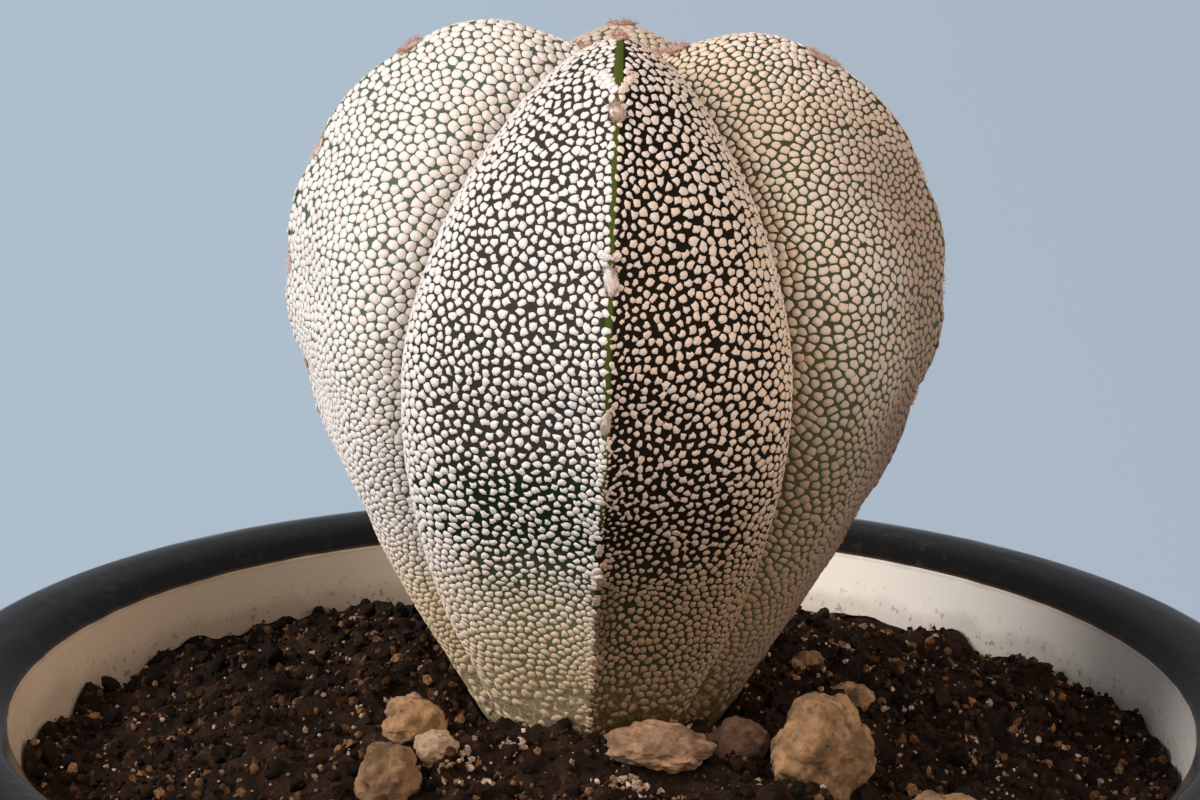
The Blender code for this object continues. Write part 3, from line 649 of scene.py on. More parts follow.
def fleck_sizes(rib, side, t, crest, groove, height, arm):
    """How flecks grow in each zone of the ribs: how far apart they stand along and across their rows,
    how steeply the rows rise, a fleck's half width, the gap round it, and how near it is to the foot."""
    front, right_rib, left_rib = ((rib == number).astype(float) for number in (0, 1, 3))
    right = front * (side > 0)                       # the right flank of the front rib
    left = front - right
    # Each of these is 1 in its own zone and 0 elsewhere: beside the crest, on the front's lower crest,
    # near the groove and less near, at middle heights, low down, at the foot, low beside the front's
    # crest on its right, on the sparse middle of that flank, and on the crowded strip by its groove.
    keel = blend(3.8, 1.2, crest)
    ridge = front * blend(1.0, 0.4, crest) * blend(RIDGE_END + 0.01, RIDGE_END - 0.02, t)
    edge, inner = blend(6.0, 2.0, groove), blend(13.0, 6.0, groove)
    waist = blend(15.0, 19.0, height) * blend(36.0, 27.0, height)
    low, foot = blend(17.0, 11.0, height), blend(10.0, 3.5, height)
    bottom = right * keel * blend(24.0, 18.0, height)
    bald = right * blend(11.0, 7.0, crest) * blend(56.0, 46.0, height) * blend(26.0, 35.0, height)
    rim = right * blend(9.0, 5.0, groove) * blend(34.0, 42.0, height)

    wide = 0.66 - 0.10 * keel * front - 0.07 * edge - 0.17 * ridge - 0.16 * arm - 0.03 * waist
    wide = wide - left_rib * (0.02 + 0.16 * blend(44.0, 31.0, height))
    wide = wide + 0.04 * front * blend(46.0, 54.0, height)
    wide = wide - 0.05 * right * blend(9.0, 4.0, groove) - 0.04 * right * keel - 0.06 * bottom
    wide = wide + right_rib * (0.03 * blend(3.0, 8.0, groove) - 0.045 - 0.085 * blend(42.0, 50.0, height))
    wide = wide + 0.04 * right * blend(44.0, 50.0, height)
    wide = wide - 0.11 * blend(22.0, 13.0, height) * (1 - bottom) * (1 - left_rib)
    long = wide * (1.12 + 0.30 * (1 - front) + 0.15 * (1 - front) * edge + 0.25 * low + 0.45 * bottom)
    slant = 8.0 + 37.0 * right + 40.0 * keel * front + 40.0 * low * (1 - bottom)
    slant = np.radians(slant + (math.degrees(math.atan(ARM_SLOPE)) - slant) * arm)

    half = 0.62 - 0.19 * front + 0.12 * front * inner - 0.06 * right * keel + 0.05 * bottom
    half = half - 0.06 * waist * front - 0.06 * waist * right - 0.10 * foot + 0.10 * arm - 0.05 * ridge
    half = half + 0.07 * front * blend(40.0, 50.0, height) + 0.06 * low * (1 - right)
    half = half + 0.04 * left_rib - 0.05 * right * keel * (1 - bottom) + 0.05 * left * inner
    half = half - 0.07 * bald + 0.10 * rim
    gap = 0.07 + 0.02 * front - 0.09 * left * blend(11.0, 5.0, groove) + 0.02 * waist
    gap = gap - 0.16 * arm - 0.14 * ridge
    gap = gap + 0.035 * right_rib * blend(16.0, 26.0, height) * (1.0 + 0.8 * blend(48.0, 40.0, height))
    gap = gap - 0.05 * left_rib + 0.13 * right * keel * (1 - bottom) + 0.02 * bald - 0.06 * rim
    return {"long": long, "wide": wide, "slant": slant, "half": half, "gap": gap, "foot": foot}


def felt_growth(rib, side, s, t):
    """Places, directions, sizes and limits of flecks at points of the skin, by name."""
    place, across, up, out, width, length = flank_frames(rib, side, s, t)
    crest, groove, height = s * width, (1.0 - s) * width, place[:, 2] - SOIL_HEIGHT
    arm, pad = areole_arms(rib, t, length, crest)
    growth = fleck_sizes(rib, side, t, crest, groove, height, arm)
    bare = np.where(rib == 0, -1.0 + 1.07 * blend(RIDGE_END - 0.02, RIDGE_END + 0.01, t), -1.0)
    bare = bare + (rib == 0) * 0.40 * blend(0.72, 0.76, t)
    slant = growth["slant"][:, None]
    long_axis = across * np.cos(slant) + up * np.sin(slant)
    grows = (crest > bare + 0.22) & (groove > 0.2) & (height > 0.3) & ~pad
    grows = grows & (np.hypot(place[:, 0], place[:, 1]) > 2.5)
    # The front rib's places are moved aside, so that its flecks and those of a side rib do not crowd
    # each other across the groove between them.
    apart = place + (rib == 0)[:, None] * FRONT_ASIDE
    growth |= {"place": place, "apart": apart, "across": across, "up": up, "out": out,
               "long_axis": long_axis, "short_axis": np.cross(out, long_axis), "length": length,
               "width": width, "crest": crest, "groove": groove, "height": height, "bare": bare,
               "grows": grows}
    return growth


def scatter_places():
    """Random places on all flanks, each with its own chance by area, as rib, side, s and t."""
    s_cells, t_cells = 20, 110
    rib, side, s, t = (a.ravel() for a in np.meshgrid(
        range(4), (-1, 1), (np.arange(s_cells) + 0.5) / s_cells, (np.arange(t_cells) + 0.5) / t_cells))
    rib, side = rib.astype(int), side.astype(int)
    width, length = flank_frames(rib, side, s, t)[4:]
    pick = draw.choice(len(s), FLECK_TRIES, p=width * length / (width * length).sum())
    s = s[pick] + draw.uniform(-0.5, 0.5, FLECK_TRIES) / s_cells
    t = t[pick] + draw.uniform(-0.5, 0.5, FLECK_TRIES) / t_cells
    return rib[pick], side[pick], s, t


def spread(points, long_axis, short_axis, length, width):
    """Indices of points that keep their own length and width clear of the points picked before."""
    crowd, picked = {}, []
    tries = zip(points.tolist(), (long_axis / length[:, None]).tolist(),
                (short_axis / width[:, None]).tolist(), np.floor(points / CROWD_CELL).astype(int).tolist())
    around = [(i, j, k) for i in (-1, 0, 1) for j in (-1, 0, 1) for k in (-1, 0, 1)]
    for number, ((x, y, z), (ax, ay, az), (bx, by, bz), (i, j, k)) in enumerate(tries):
        for u, v, w in crowd.get((i, j, k), ()):
            dx, dy, dz = x - u, y - v, z - w
            if (dx * ax + dy * ay + dz * az) ** 2 + (dx * bx + dy * by + dz * bz) ** 2 < 1.0:
                if dx * dx + dy * dy + dz * dz < CROWD_REACH:
                    break
        else:
            picked.append(number)
            for a, b, c in around:
                crowd.setdefault((i + a, j + b, k + c), []).append((x, y, z))
    return np.array(picked)


def nearest(points, count):
    """For each point, the offsets to its nearest neighbours and their numbers."""
    tree = kdtree.KDTree(len(points))
    for number, point in enumerate(points.tolist()):
        tree.insert(point, number)
    tree.balance()
    found = np.array([[hit[1] for hit in tree.find_n(point, count + 1)[1:]] for point in points.tolist()])
    return points[found] - points[:, None], found


def pushed_apart(rib, side, s, t):
    """Moves points along the skin away from those that crowd them."""
    for _ in range(PUSH_ROUNDS):
        here = felt_growth(rib, side, s, t)
        offsets = nearest(here["apart"], PUSH_NEIGHBOURS)[0]
        x = (offsets * here["long_axis"][:, None]).sum(axis=2) / here["long"][:, None]
        y = (offsets * here["short_axis"][:, None]).sum(axis=2) / here["wide"][:, None]
        away = np.maximum(np.hypot(x, y), 0.05)
        press = -PUSH_SHARE * np.maximum(PUSH_REACH - away, 0.0) / away
        x, y = (x * press).sum(axis=1) * here["long"], (y * press).sum(axis=1) * here["wide"]
        move = x[:, None] * here["long_axis"] + y[:, None] * here["short_axis"]
        new_s = s + (move * here["across"]).sum(axis=1) / here["width"]
        new_t = t + (move * here["up"]).sum(axis=1) / here["length"]
        inside = (new_s * here["width"] > here["bare"] + 0.24) & (new_s > 0.002)
        inside = inside & ((1 - new_s) * here["width"] > 0.22) & (new_t > 0.008) & (new_t < 0.985)
        s, t = np.where(inside, new_s, s), np.where(inside, new_t, t)
    return s, t


def fleck_crowd():
    """Rib, side, s and t of all flecks: first those of the ridge, then those of the flanks."""
    rib, side, s, t = scatter_places()
    ridge_t = draw.uniform(0.012, RIDGE_END, RIDGE_TRIES)
    ridge_s = draw.uniform(0.0, 0.018, RIDGE_TRIES)
    ridge_side = draw.choice((-1, 1), RIDGE_TRIES)
    rib, side = np.concatenate((0 * ridge_side, rib)), np.concatenate((ridge_side, side))
    s, t = np.concatenate((ridge_s, s)), np.concatenate((ridge_t, t))
    tries = felt_growth(rib, side, s, t)
    chosen = np.flatnonzero(tries["grows"] & (draw.uniform(0, 1, len(s)) > 0.94 * tries["foot"]))
    crowd = [tries[key][chosen] for key in ("apart", "long_axis", "short_axis", "long", "wide")]
    chosen = chosen[spread(*crowd)]
    rib, side, s, t = (values[chosen] for values in (rib, side, s, t))
    return rib, side, *pushed_apart(rib, side, s, t)


def fleck_outlines(rib, flecks):
    """The angles of each fleck's spokes, and how long they are before they meet a neighbour's."""
    gap, across, count = flecks["gap"], flecks["across"], len(rib)
    offsets, found = nearest(flecks["apart"], FLECK_NEIGHBOURS)
    to_crest = np.where(flecks["bare"] > 0, 2 * (flecks["crest"] - flecks["bare"]) + gap, OPEN)
    to_groove = 2 * flecks["groove"] + 0.6 * gap
    walls = np.stack((-across * to_crest[:, None], across * to_groove[:, None]), 1)
    offsets = np.concatenate((offsets, walls), axis=1)
    # Both flecks of a pair work out the same number from 0 to 1, so both grow the bridge or neither.
    own = np.arange(count)[:, None]
    pair = np.sin((own + found) * 12.9898 + np.abs(own - found) * 78.233) * 43758.5453 % 1.0
    joined = np.concatenate((pair < FLECK_BRIDGES, np.zeros((count, 2), bool)), axis=1)
    flat_x = (offsets * flecks["long_axis"][:, None]).sum(axis=2)
    flat_y = (offsets * flecks["short_axis"][:, None]).sum(axis=2)
    away, bearing = np.hypot(flat_x, flat_y), np.arctan2(flat_y, flat_x)
    angle = (np.arange(FLECK_SIDES) + draw.uniform(-0.5, 0.5, (count, 1))) * 2 * math.pi / FLECK_SIDES
    facing = np.cos(angle[:, :, None] - bearing[:, None])
    kept = np.where(joined, -0.5, 1.0) * gap[:, None]
    room = np.where(facing > 0.08, (0.5 * (away - kept))[:, None] / np.maximum(facing, 0.08), OPEN)
    room = room.min(axis=2)
    stretch = np.sqrt(flecks["long"] / flecks["wide"])
    long_half = (flecks["half"] * stretch)[:, None] * draw.uniform(0.86, 1.16, (count, 1))
    wide_half = (flecks["half"] / stretch)[:, None] * draw.uniform(0.86, 1.16, (count, 1))
    oval = long_half * wide_half / np.hypot(wide_half * np.cos(angle), long_half * np.sin(angle))
    bridged = (joined & (away < 1.1))[:, None] & (facing > 0.86)
    bridge = np.where(bridged, 0.55 * away[:, None], 0.0).max(axis=2)
    ragged = np.where(rib == 0, 0.46, 0.30)[:, None] * draw.uniform(-1.0, 1.0, oval.shape)
    outline = np.maximum(np.minimum(room, oval * (1.03 + ragged)), bridge)
    return angle, np.clip(outline * draw.uniform(0.95, 1.05, oval.shape), *FLECK_REACH)


def fleck_template():
    """A flat scale with a bevelled edge and a closed underside, one unit in radius."""
    bm = bmesh.new()
    bmesh.ops.create_circle(bm, cap_ends=True, segments=FLECK_SIDES, radius=1.0)
    bmesh.ops.recalc_face_normals(bm, faces=bm.faces)
    top = bmesh.ops.extrude_face_region(bm, geom=bm.faces[:] + bm.edges[:] + bm.verts[:])["geom"]
    raised = [v for v in top if isinstance(v, bmesh.types.BMVert)]
    bmesh.ops.scale(bm, vec=(1 - FLECK_BEVEL, 1 - FLECK_BEVEL, 1), verts=raised)
    bmesh.ops.translate(bm, vec=(0, 0, 1), verts=raised)
    cap = [f for f in bm.faces if all(v in raised for v in f.verts)]
    bmesh.ops.poke(bm, faces=cap)
    return bm


def template_arrays(bm):
    """The corners and triangles of a template, which is then freed."""
    bmesh.ops.recalc_face_normals(bm, faces=bm.faces)
    bmesh.ops.triangulate(bm, faces=bm.faces)
    bm.verts.index_update()
    corners = np.array([v.co for v in bm.verts])
    triangles = np.array([[v.index for v in f.verts] for f in bm.faces])
    bm.free()
    return corners, triangles


def fleck_corners(flecks, angle, outline):
    """Places of every fleck's corners, how far each corner is from the dark fringe, and the triangles."""
    corners, triangles = template_arrays(fleck_template())
    from_middle, top = np.hypot(corners[:, 0], corners[:, 1]), corners[:, 2] > 0.5
    middle = top & (from_middle < 0.1)
    spoke = np.arctan2(corners[:, 1], corners[:, 0]) / (2 * math.pi) * FLECK_SIDES
    spoke = np.rint(spoke).astype(int) % FLECK_SIDES
    reach = from_middle[None] * outline[:, spoke]
    thick = draw.uniform(*FLECK_THICKNESS, len(outline))[:, None]
    thick = thick * blend(0.1, 0.4, outline.mean(axis=1))[:, None]
    thick = thick * (1.0 - 0.5 * flecks["foot"])[:, None]
    lift = np.where(top, thick * np.where(middle, 1.3, 1.0), -FLECK_SUNK)
    co = (flecks["place"][:, None]
          + (reach * np.cos(angle[:, spoke]))[:, :, None] * flecks["long_axis"][:, None]
          + (reach * np.sin(angle[:, spoke]))[:, :, None] * flecks["short_axis"][:, None]
          + lift[:, :, None] * flecks["out"][:, None])
    return co, np.where(middle, 1.0, np.where(top, 0.3, 0.0)), triangles


def copies_mesh(name, co, triangles):
    """One mesh of many copies of a template, from the places of each copy's corners in millimetres."""
    count, corners = co.shape[:2]
    faces = (triangles[None] + corners * np.arange(count)[:, None, None]).reshape(-1, 3)
    mesh = bpy.data.meshes.new(name)
    mesh.vertices.add(count * corners)
    mesh.loops.add(faces.size)
    mesh.polygons.add(len(faces))
    mesh.vertices.foreach_set("co", (co.reshape(-1) * MM).astype(np.float32))
    mesh.loops.foreach_set("vertex_index", faces.ravel().astype(np.int32))
    mesh.polygons.foreach_set("loop_start", np.arange(0, faces.size, 3, dtype=np.int32))
    mesh.update(calc_edges=True)
    return mesh


def tint(mesh, name, colours):
    """Stores one colour for each vertex, with or without an alpha, for the finish to read."""
    rgba = np.ones((len(colours), 4), np.float32)
    rgba[:, :colours.shape[1]] = colours
    mesh.attributes.new(name, "FLOAT_COLOR", "POINT").data.foreach_set("color", rgba.ravel())


def felt_tones(rib, side, flecks, fringe):
    """The colour of each corner of each fleck: white on the left, pink and tan on the right with painted
    shade and a little painted light, and worn to cork at the foot. Its alpha tells the finish how near the
    dark fringe is."""
    crest, groove, height = flecks["crest"], flecks["groove"], flecks["height"]
    toned = draw.uniform(0.0, 1.0, len(rib))
    front, right_rib, behind, left_rib = (rib == number for number in range(4))
    right, left = front & (side > 0), front & (side < 0)
    # High on the front rib's right flank, near its groove, the flecks are made less pink and less tan:
    # painted light where the rib's outline catches it.
    rim = right * blend(9.0, 4.0, groove) * blend(38.0, 46.0, height)
    # The pink is partly the felt's own tone at random, and on the right flanks partly painted shade, less of
    # it high up.
    pink = 0.4 * toned + (right * (0.75 - 0.4 * blend(42.0, 54.0, height)) - 0.5 * rim + 0.12 * right_rib)
    tan = blend(14.0, 2.0, groove) * (0.3 * right_rib + 0.08 * left_rib) + 0.28 * right_rib + 0.5 * behind
    tan = tan + blend(24.0, 12.0, height) * (0.55 + 0.5 * right)
    tan = tan + right * 0.6 * blend(13.0, 6.0, groove) - 0.35 * rim
    worn = blend(14.0, 5.0, height + 3.0 * toned - 5.0 * left_rib)
    tone = np.tile(FELT_WHITE, (len(rib), 1))
    for colour, amount in ((FELT_PINK, pink), (FELT_TAN, tan * (0.6 + 0.5 * toned)), (FELT_CORK, worn)):
        tone += (np.array(colour) - tone) * np.clip(amount, 0, 1)[:, None]

    # Zones that are darker, each with the shares of red, green and blue that it loses. The low right side,
    # the shadow side of the front's lower crest, the middle of its right flank and the right rib's outer
    # edge are painted shade; the low left turns yellower, and the back rib is darker.
    shaded_side = right | right_rib
    lower_crest_shadow = right * blend(2.6, 1.2, crest) * blend(9.5, 11.5, height) * blend(19.0, 17.0, height)
    darker = ((shaded_side * blend(38.0, 13.0, height - 10.0 * right_rib), (0.66, 0.72, 0.80)),
              (blend(20.0, 10.0, height) * ~shaded_side, (0.01, 0.045, 0.13)),
              (lower_crest_shadow, (0.55, 0.66, 0.75)),
              (right * blend(60.0, 52.0, height) * blend(4.0, 9.0, groove), (0.03, 0.07, 0.13)),
              (right_rib * blend(17.0, 6.0, crest) * blend(63.0, 55.0, height), (0.24, 0.32, 0.40)),
              (right_rib * blend(15.0, 6.0, crest) * blend(58.0, 46.0, height), (0.34, 0.43, 0.47)),
              (1.0 * behind, (0.25, 0.30, 0.36)))
    for amount, taken in darker:
        tone *= 1.0 - amount[:, None] * np.array(taken)

    hazy = 0.3 * ~front + 0.18 * left * blend(13.0, 7.0, groove) + 0.3 * left * blend(20.0, 13.0, height)
    hazy = hazy + 0.3 * flecks["foot"]
    alpha = fringe + np.minimum(hazy, 0.3)[:, None]
    return np.concatenate((np.repeat(tone[:, None], len(fringe), axis=1), alpha[:, :, None]), axis=2)


def felt_finish():
    """Matted hairs whose fringe is ragged: where its alpha falls under a noise, the dark skin shows."""
    felt = Finish("matted white felt", Roughness=0.95, Sheen_Weight=0.2, Sheen_Roughness=0.5)
    hairs = felt.noise(5.0, 4.0, 0.7)
    soft = felt.mix(0.4 * felt.step(hairs, 0.62, 0.3), felt.read("felt", "Color"), FELT_DUSK)
    ragged = felt.read("felt", "Alpha") + 2.1 * felt.noise(5.5, 3.0, 0.65) - 1.05
    colour = felt.mix(felt.step(ragged, 0.0, 0.14), FELT_FRINGE, soft)
    return felt.use(Base_Color=colour, Normal=felt.bump(hairs, 0.07))


fleck_rib, fleck_side, fleck_s, fleck_t = fleck_crowd()
flecks = felt_growth(fleck_rib, fleck_side, fleck_s, fleck_t)
fleck_co, fringe, fleck_triangles = fleck_corners(flecks, *fleck_outlines(fleck_rib, flecks))
fleck_tones = felt_tones(fleck_rib, fleck_side, flecks, fringe)
felt_material = felt_finish()
for number, rib_name in enumerate(RIB_NAMES):
    members = fleck_rib == number
    mesh = copies_mesh(f"felt_{rib_name}", fleck_co[members], fleck_triangles)
    tint(mesh, "felt", fleck_tones[members].reshape(-1, 4))
    placed(mesh, f"felt_{rib_name}", felt_material)

# The areoles sit in notches along each crest: pads of felt, pinkish and speckled on the flanks and with
# reddish brown hairs near the crown, where they are young. Two arms of matted felt rise from each of the
# front's upper ones, and loose wool lies in the sunk crown.
PAD_SIZE = (0.56, 1.25, 0.20)           # half width, half length and half thickness
PADS_GROWN = ((0.0, -0.45, 0.0),        # shares by which young pads are larger, each way and rib by rib
              (0.6, 0.7, 0.6),
              (0.9, -0.1, 0.2),
              (0.9, -0.1, 0.2))
PAD_LIFT = (0.08, -0.05, -0.05, -0.05)
CROWN_START = 0.9             # past this place on a crest, all pads grow like those of the back rib
PAD_HAIRS = 140
ARM_LUMPS = (0, 0, 0, 1, 5, 0)          # in each arm of the front's areoles, from the soil up
ARM_LUMP = (0.42, 0.36, 0.15)
ARM_FIRST = 0.62              # from the crest to the first lump
ARM_STEP = 0.52
ARM_TURN = 0.67               # of each lump along its arm, in radians
CREST_LENGTH = 72.0           # of the front rib, from soil to crown
FLANK_WIDTH = 26.0            # of the front rib, where the arms are
CROWN_WOOL = (2.2, 2.2, 0.9)
CROWN_HAIRS = 700
CROWN_SPREAD = 3.9            # radius of the wool's loose hairs, which rise outwards like the crown's bowl
CROWN_RISE = 0.45
HAIR_WIDTH = 0.045
HAIR_TANGLE = 0.8
YOUNG_HAIRS = (0.9, 0.35, 0.35, 0.35)   # shares by which young hairs are longer, rib by rib
WOOL_SEED = 23
PAD_PINK = (0.80, 0.65, 0.58)
PAD_BROWN = (0.50, 0.27, 0.19)
PAD_WORN = (0.42, 0.30, 0.23)
PAD_SPECK = (0.16, 0.08, 0.07)
HAIR_PALE = (0.88, 0.76, 0.67)
HAIR_RUST = (0.58, 0.24, 0.15)


def skin_spot(rib, side, s, t):
    """The place of one point of the skin and its directions across, up along and out of the rib."""
    one = (np.array([value]) for value in (rib, side, s, t))
    return [Vector(values[0]) for values in flank_frames(*one)[:4]]


def hair_template():
    """A thin closed spike, one unit long, along +Z."""
    bm = bmesh.new()
    bmesh.ops.create_cone(bm, cap_ends=True, segments=3, radius1=1.0, radius2=0.25, depth=1.0)
    bmesh.ops.translate(bm, vec=(0, 0, 0.5), verts=bm.verts)
    return bm


def hairs(roots, outs, lengths):
    """Corner places of one spike for each root, leaning at random from the outward directions."""
    corners, triangles = template_arrays(hair_template())
    towards = outs + draw_wool.normal(0.0, HAIR_TANGLE, outs.shape)
    towards /= np.linalg.norm(towards, axis=1)[:, None]
    first = np.cross(towards, draw_wool.normal(size=outs.shape))
    first /= np.linalg.norm(first, axis=1)[:, None]
    second = np.cross(towards, first)
    co = (roots[:, None] + HAIR_WIDTH * corners[None, :, 0, None] * first[:, None]
          + HAIR_WIDTH * corners[None, :, 1, None] * second[:, None]
          + lengths[:, None, None] * corners[None, :, 2, None] * towards[:, None])
    return co, triangles


def hair_colours(rusty, count):
    """Colours drawn at random between pale and rust, around a share of rust from 0 to 1."""
    rust = np.clip(draw_wool.normal(rusty, 0.3, (count, 1)), 0, 1)
    return np.array(HAIR_PALE) + (np.array(HAIR_RUST) - HAIR_PALE) * rust


def wool_finish():
    wool = Finish("areole wool", Roughness=0.95, Sheen_Weight=0.3)
    specks = wool.step(wool.noise(3.2, 3.0, 0.6), 0.56, 0.68)
    colour = wool.mix(0.5 * specks, wool.read("wool", "Color"), PAD_SPECK)
    return wool.use(Base_Color=colour, Normal=wool.bump(wool.noise(4.5, 4.0, 0.7), 0.12))


def add_lump(centre, turn, size, tone):
    """Adds a knobbly flat lump of felt to the pads, in one colour."""
    verts = bmesh.ops.create_uvsphere(pads_bm, u_segments=14, v_segments=10, radius=1.0)["verts"]
    for v in verts:
        knobs = 1.0 + 0.7 * noise.noise(v.co * 1.9 + centre * 3.0)
        v.co = Vector(v.co[i] * size[i] * knobs for i in range(3))
    bmesh.ops.transform(pads_bm, matrix=Matrix.Translation(centre) @ turn, verts=verts)
    pad_tones.extend([tone] * len(verts))


def add_arm(side, t, lumps):
    """Adds one of the two felt arms that rise from the areole at t on the front's crest."""
    for step in range(lumps):
        crest = ARM_FIRST + ARM_STEP * step
        rise = t + (ARM_START + ARM_SLOPE * crest) / CREST_LENGTH
        spot, *axes = skin_spot(0, side, crest / FLANK_WIDTH, rise)
        turn = Matrix(axes).transposed().to_4x4() @ Matrix.Rotation(side * ARM_TURN, 4, "Z")
        # The right arm is pink like the right flank's flecks, partly as painted shade.
        add_lump(spot + PAD_LIFT[0] * axes[2], turn, ARM_LUMP, FELT_WHITE if side < 0 else FELT_PINK)


draw_wool = np.random.default_rng(WOOL_SEED)
wool_material = wool_finish()
pads_bm = bmesh.new()
pad_tones, hair_roots, hair_outs, hair_lengths, hair_tones = [], [], [], [], []
for number in range(4):
    for t, lumps in zip(AREOLES[number], ARM_LUMPS):
        centre, across, up, out = skin_spot(number, 1, 0.0, t)
        young = float(blend(0.6, 0.8, t))
        size = 0.5 + 0.5 * float(blend(0.25, 0.56, t))
        tone = np.array(PAD_PINK) + (np.array(PAD_BROWN) - PAD_PINK) * 0.8 * young
        tone = tone + (np.array(PAD_WORN) - tone) * float(blend(0.55, 0.35, t))
        grown = PADS_GROWN[number if t < CROWN_START else 2]
        half = [size * axis * (1 + young * more) for axis, more in zip(PAD_SIZE, grown)]
        turn = Matrix((across, up, out)).transposed().to_4x4()
        add_lump(centre + PAD_LIFT[number] * out, turn, half, tone)
        if number == 0:
            add_arm(-1, t, lumps)
            add_arm(1, t, lumps)
        spots = draw_wool.uniform(-1.0, 1.0, (PAD_HAIRS, 2)) * half[:2]
        hair_roots.append(np.array(centre) + spots[:, :1] * np.array(across) + spots[:, 1:] * np.array(up))
        hair_outs.append(np.tile(np.array(out) + 0.8 * young * np.array(up), (PAD_HAIRS, 1)))
        longer = 1.0 + YOUNG_HAIRS[number] * young
        hair_lengths.append(draw_wool.uniform(0.25, 0.55, PAD_HAIRS) * size * longer)
        hair_tones.append(hair_colours(0.15 + 0.65 * young, PAD_HAIRS))
apex = Vector(planted(np.array([[0.0, 0.0, GROOVE[-1][1] + 0.5]]))[0])
add_lump(apex, Matrix.Identity(4), CROWN_WOOL, PAD_BROWN)
bmesh.ops.recalc_face_normals(pads_bm, faces=pads_bm.faces)
pads = finished(pads_bm, "areole_pads", wool_material)
tint(pads.data, "wool", np.array(pad_tones))

turn = draw_wool.uniform(0, 2 * math.pi, CROWN_HAIRS)
out_by = CROWN_SPREAD * np.sqrt(draw_wool.uniform(0, 1, CROWN_HAIRS))
rise = GROOVE[-1][1] + CROWN_RISE * out_by - 0.3
spots = np.stack((out_by * np.cos(turn), out_by * np.sin(turn), rise), 1)
hair_roots.append(planted(spots))
hair_outs.append(np.tile((0.0, 0.0, 1.0), (CROWN_HAIRS, 1)))
hair_lengths.append(draw_wool.uniform(0.5, 1.2, CROWN_HAIRS))
hair_tones.append(hair_colours(0.75, CROWN_HAIRS))
hair_co, hair_triangles = hairs(*(np.concatenate(rows) for rows in (hair_roots, hair_outs, hair_lengths)))
hair_mesh = copies_mesh("areole_hairs", hair_co, hair_triangles)
tint(hair_mesh, "wool", np.repeat(np.concatenate(hair_tones), hair_co.shape[1], axis=0))
placed(hair_mesh, "areole_hairs", wool_material)

# The stones are loose lumps of volcanic tuff from the plant's first bed, tan or pinkish brown, pitted and
# dusty. They lie round the neck, sunk a little into the mix.
STONES = ((19.6, -17.6, 4.8, 4.1, 5.2, 35),     # x, y, half length, half width, half height, turn
          (5.4, -18.8, 4.5, 3.0, 2.1, -8),
          (-17.1, -12.2, 3.0, 2.6, 2.3, 70),
          (-14.8, -17.6, 2.0, 1.7, 1.8, 20),
          (-18.9, -21.6, 3.2, 2.8, 3.2, 55),
          (12.4, -13.8, 3.2, 2.4, 2.5, 40),
          (30.2, -23.2, 3.6, 3.2, 2.4, 15),
          (-17.8, -4.4, 2.7, 2.1, 1.9, 100),
          (19.8, 13.5, 1.7, 1.5, 1.3, 30),
          (-7.4, 20.4, 3.9, 3.1, 2.0, 160),
          (6.9, 21.8, 3.0, 2.5, 1.7, 10),
          (23.4, 3.0, 2.5, 2.1, 1.6, 100))
STONE_RISE = 0.3              # of its half height, how far its middle is over the soil
STONE_ROUGHNESS = 0.3
LARGE_STONE = 4.0             # in front, stones longer than this have a finer mesh
STONE_SEED = 11
STONES_DAMP = {3: 0.12, 4: -0.75, 5: 0.3, 6: 0.65}      # darker where wet peat clings, or dusty if negative
TUFF_TONES = (("tan_tuff", (0.40, 0.227, 0.108)), ("pink_tuff", (0.42, 0.24, 0.135)))
TUFF_PALE = (0.55, 0.38, 0.24)
TUFF_DAMP = (0.070, 0.036, 0.017)
TUFF_DUST = (0.60, 0.43, 0.28)


def tuff_finish(name, tone):
    tuff = Finish(name, Roughness=0.95)
    blotch = tuff.noise(0.28, 5.0, 0.65)
    grain = tuff.noise(2.4, 5.0, 0.75)
    dark, light = [0.48 * c for c in tone], [min(1.5 * c, 1.0) for c in tone]
    colour = tuff.mix(tuff.step(blotch, 0.35, 0.65), dark, light)
    pits = 1.0 - tuff.step(tuff.cells(0.8), 0.12, 0.42)
    colour = tuff.mix(0.8 * pits * tuff.step(grain, 0.4, 0.6), colour, [0.3 * c for c in tone])
    pale = tuff.step(tuff.noise(1.1, 4.0, 0.7), 0.6, 0.72)
    colour = tuff.mix(0.35 * pale, colour, TUFF_PALE)
    damp = tuff.read("damp")
    colour = tuff.mix(damp, colour, TUFF_DAMP)
    colour = tuff.mix(-1.0 * damp, colour, TUFF_DUST)
    return tuff.use(Base_Color=colour, Normal=tuff.bump(grain - 0.5 * pits, 0.5))


def stone_bm(number):
    """A rough lump, turned and set down on the soil."""
    x, y, length, width, height, turn = STONES[number]
    shift_draw = random.Random(STONE_SEED + number)
    shift = Vector([shift_draw.uniform(-50, 50) for _ in range(3)])
    fineness = 6 if length > LARGE_STONE and y < 0 else 5
    bm = bmesh.new()
    bmesh.ops.create_icosphere(bm, subdivisions=fineness, radius=1.0)
    for v in bm.verts:
        knobs = noise.noise(v.co * 1.3 + shift) + 0.5 * noise.noise(v.co * 3.1 + shift)
        rough = 1.0 + STONE_ROUGHNESS * knobs
        near = noise.voronoi(v.co * 3.4 + shift)[0]
        rough += 0.07 * (near[1] - near[0]) - 0.03 + 0.04 * noise.noise(v.co * 8.0 + shift)
        rough += 0.025 * noise.noise(v.co * 19.0 + shift)
        v.co = Vector((v.co.x * length, v.co.y * width, v.co.z * height)) * rough
    place = Matrix.Translation((x, y, soil_level(x, y) + STONE_RISE * height))
    bmesh.ops.transform(bm, matrix=place @ Matrix.Rotation(math.radians(turn), 4, "Z"), verts=bm.verts)
    return bm


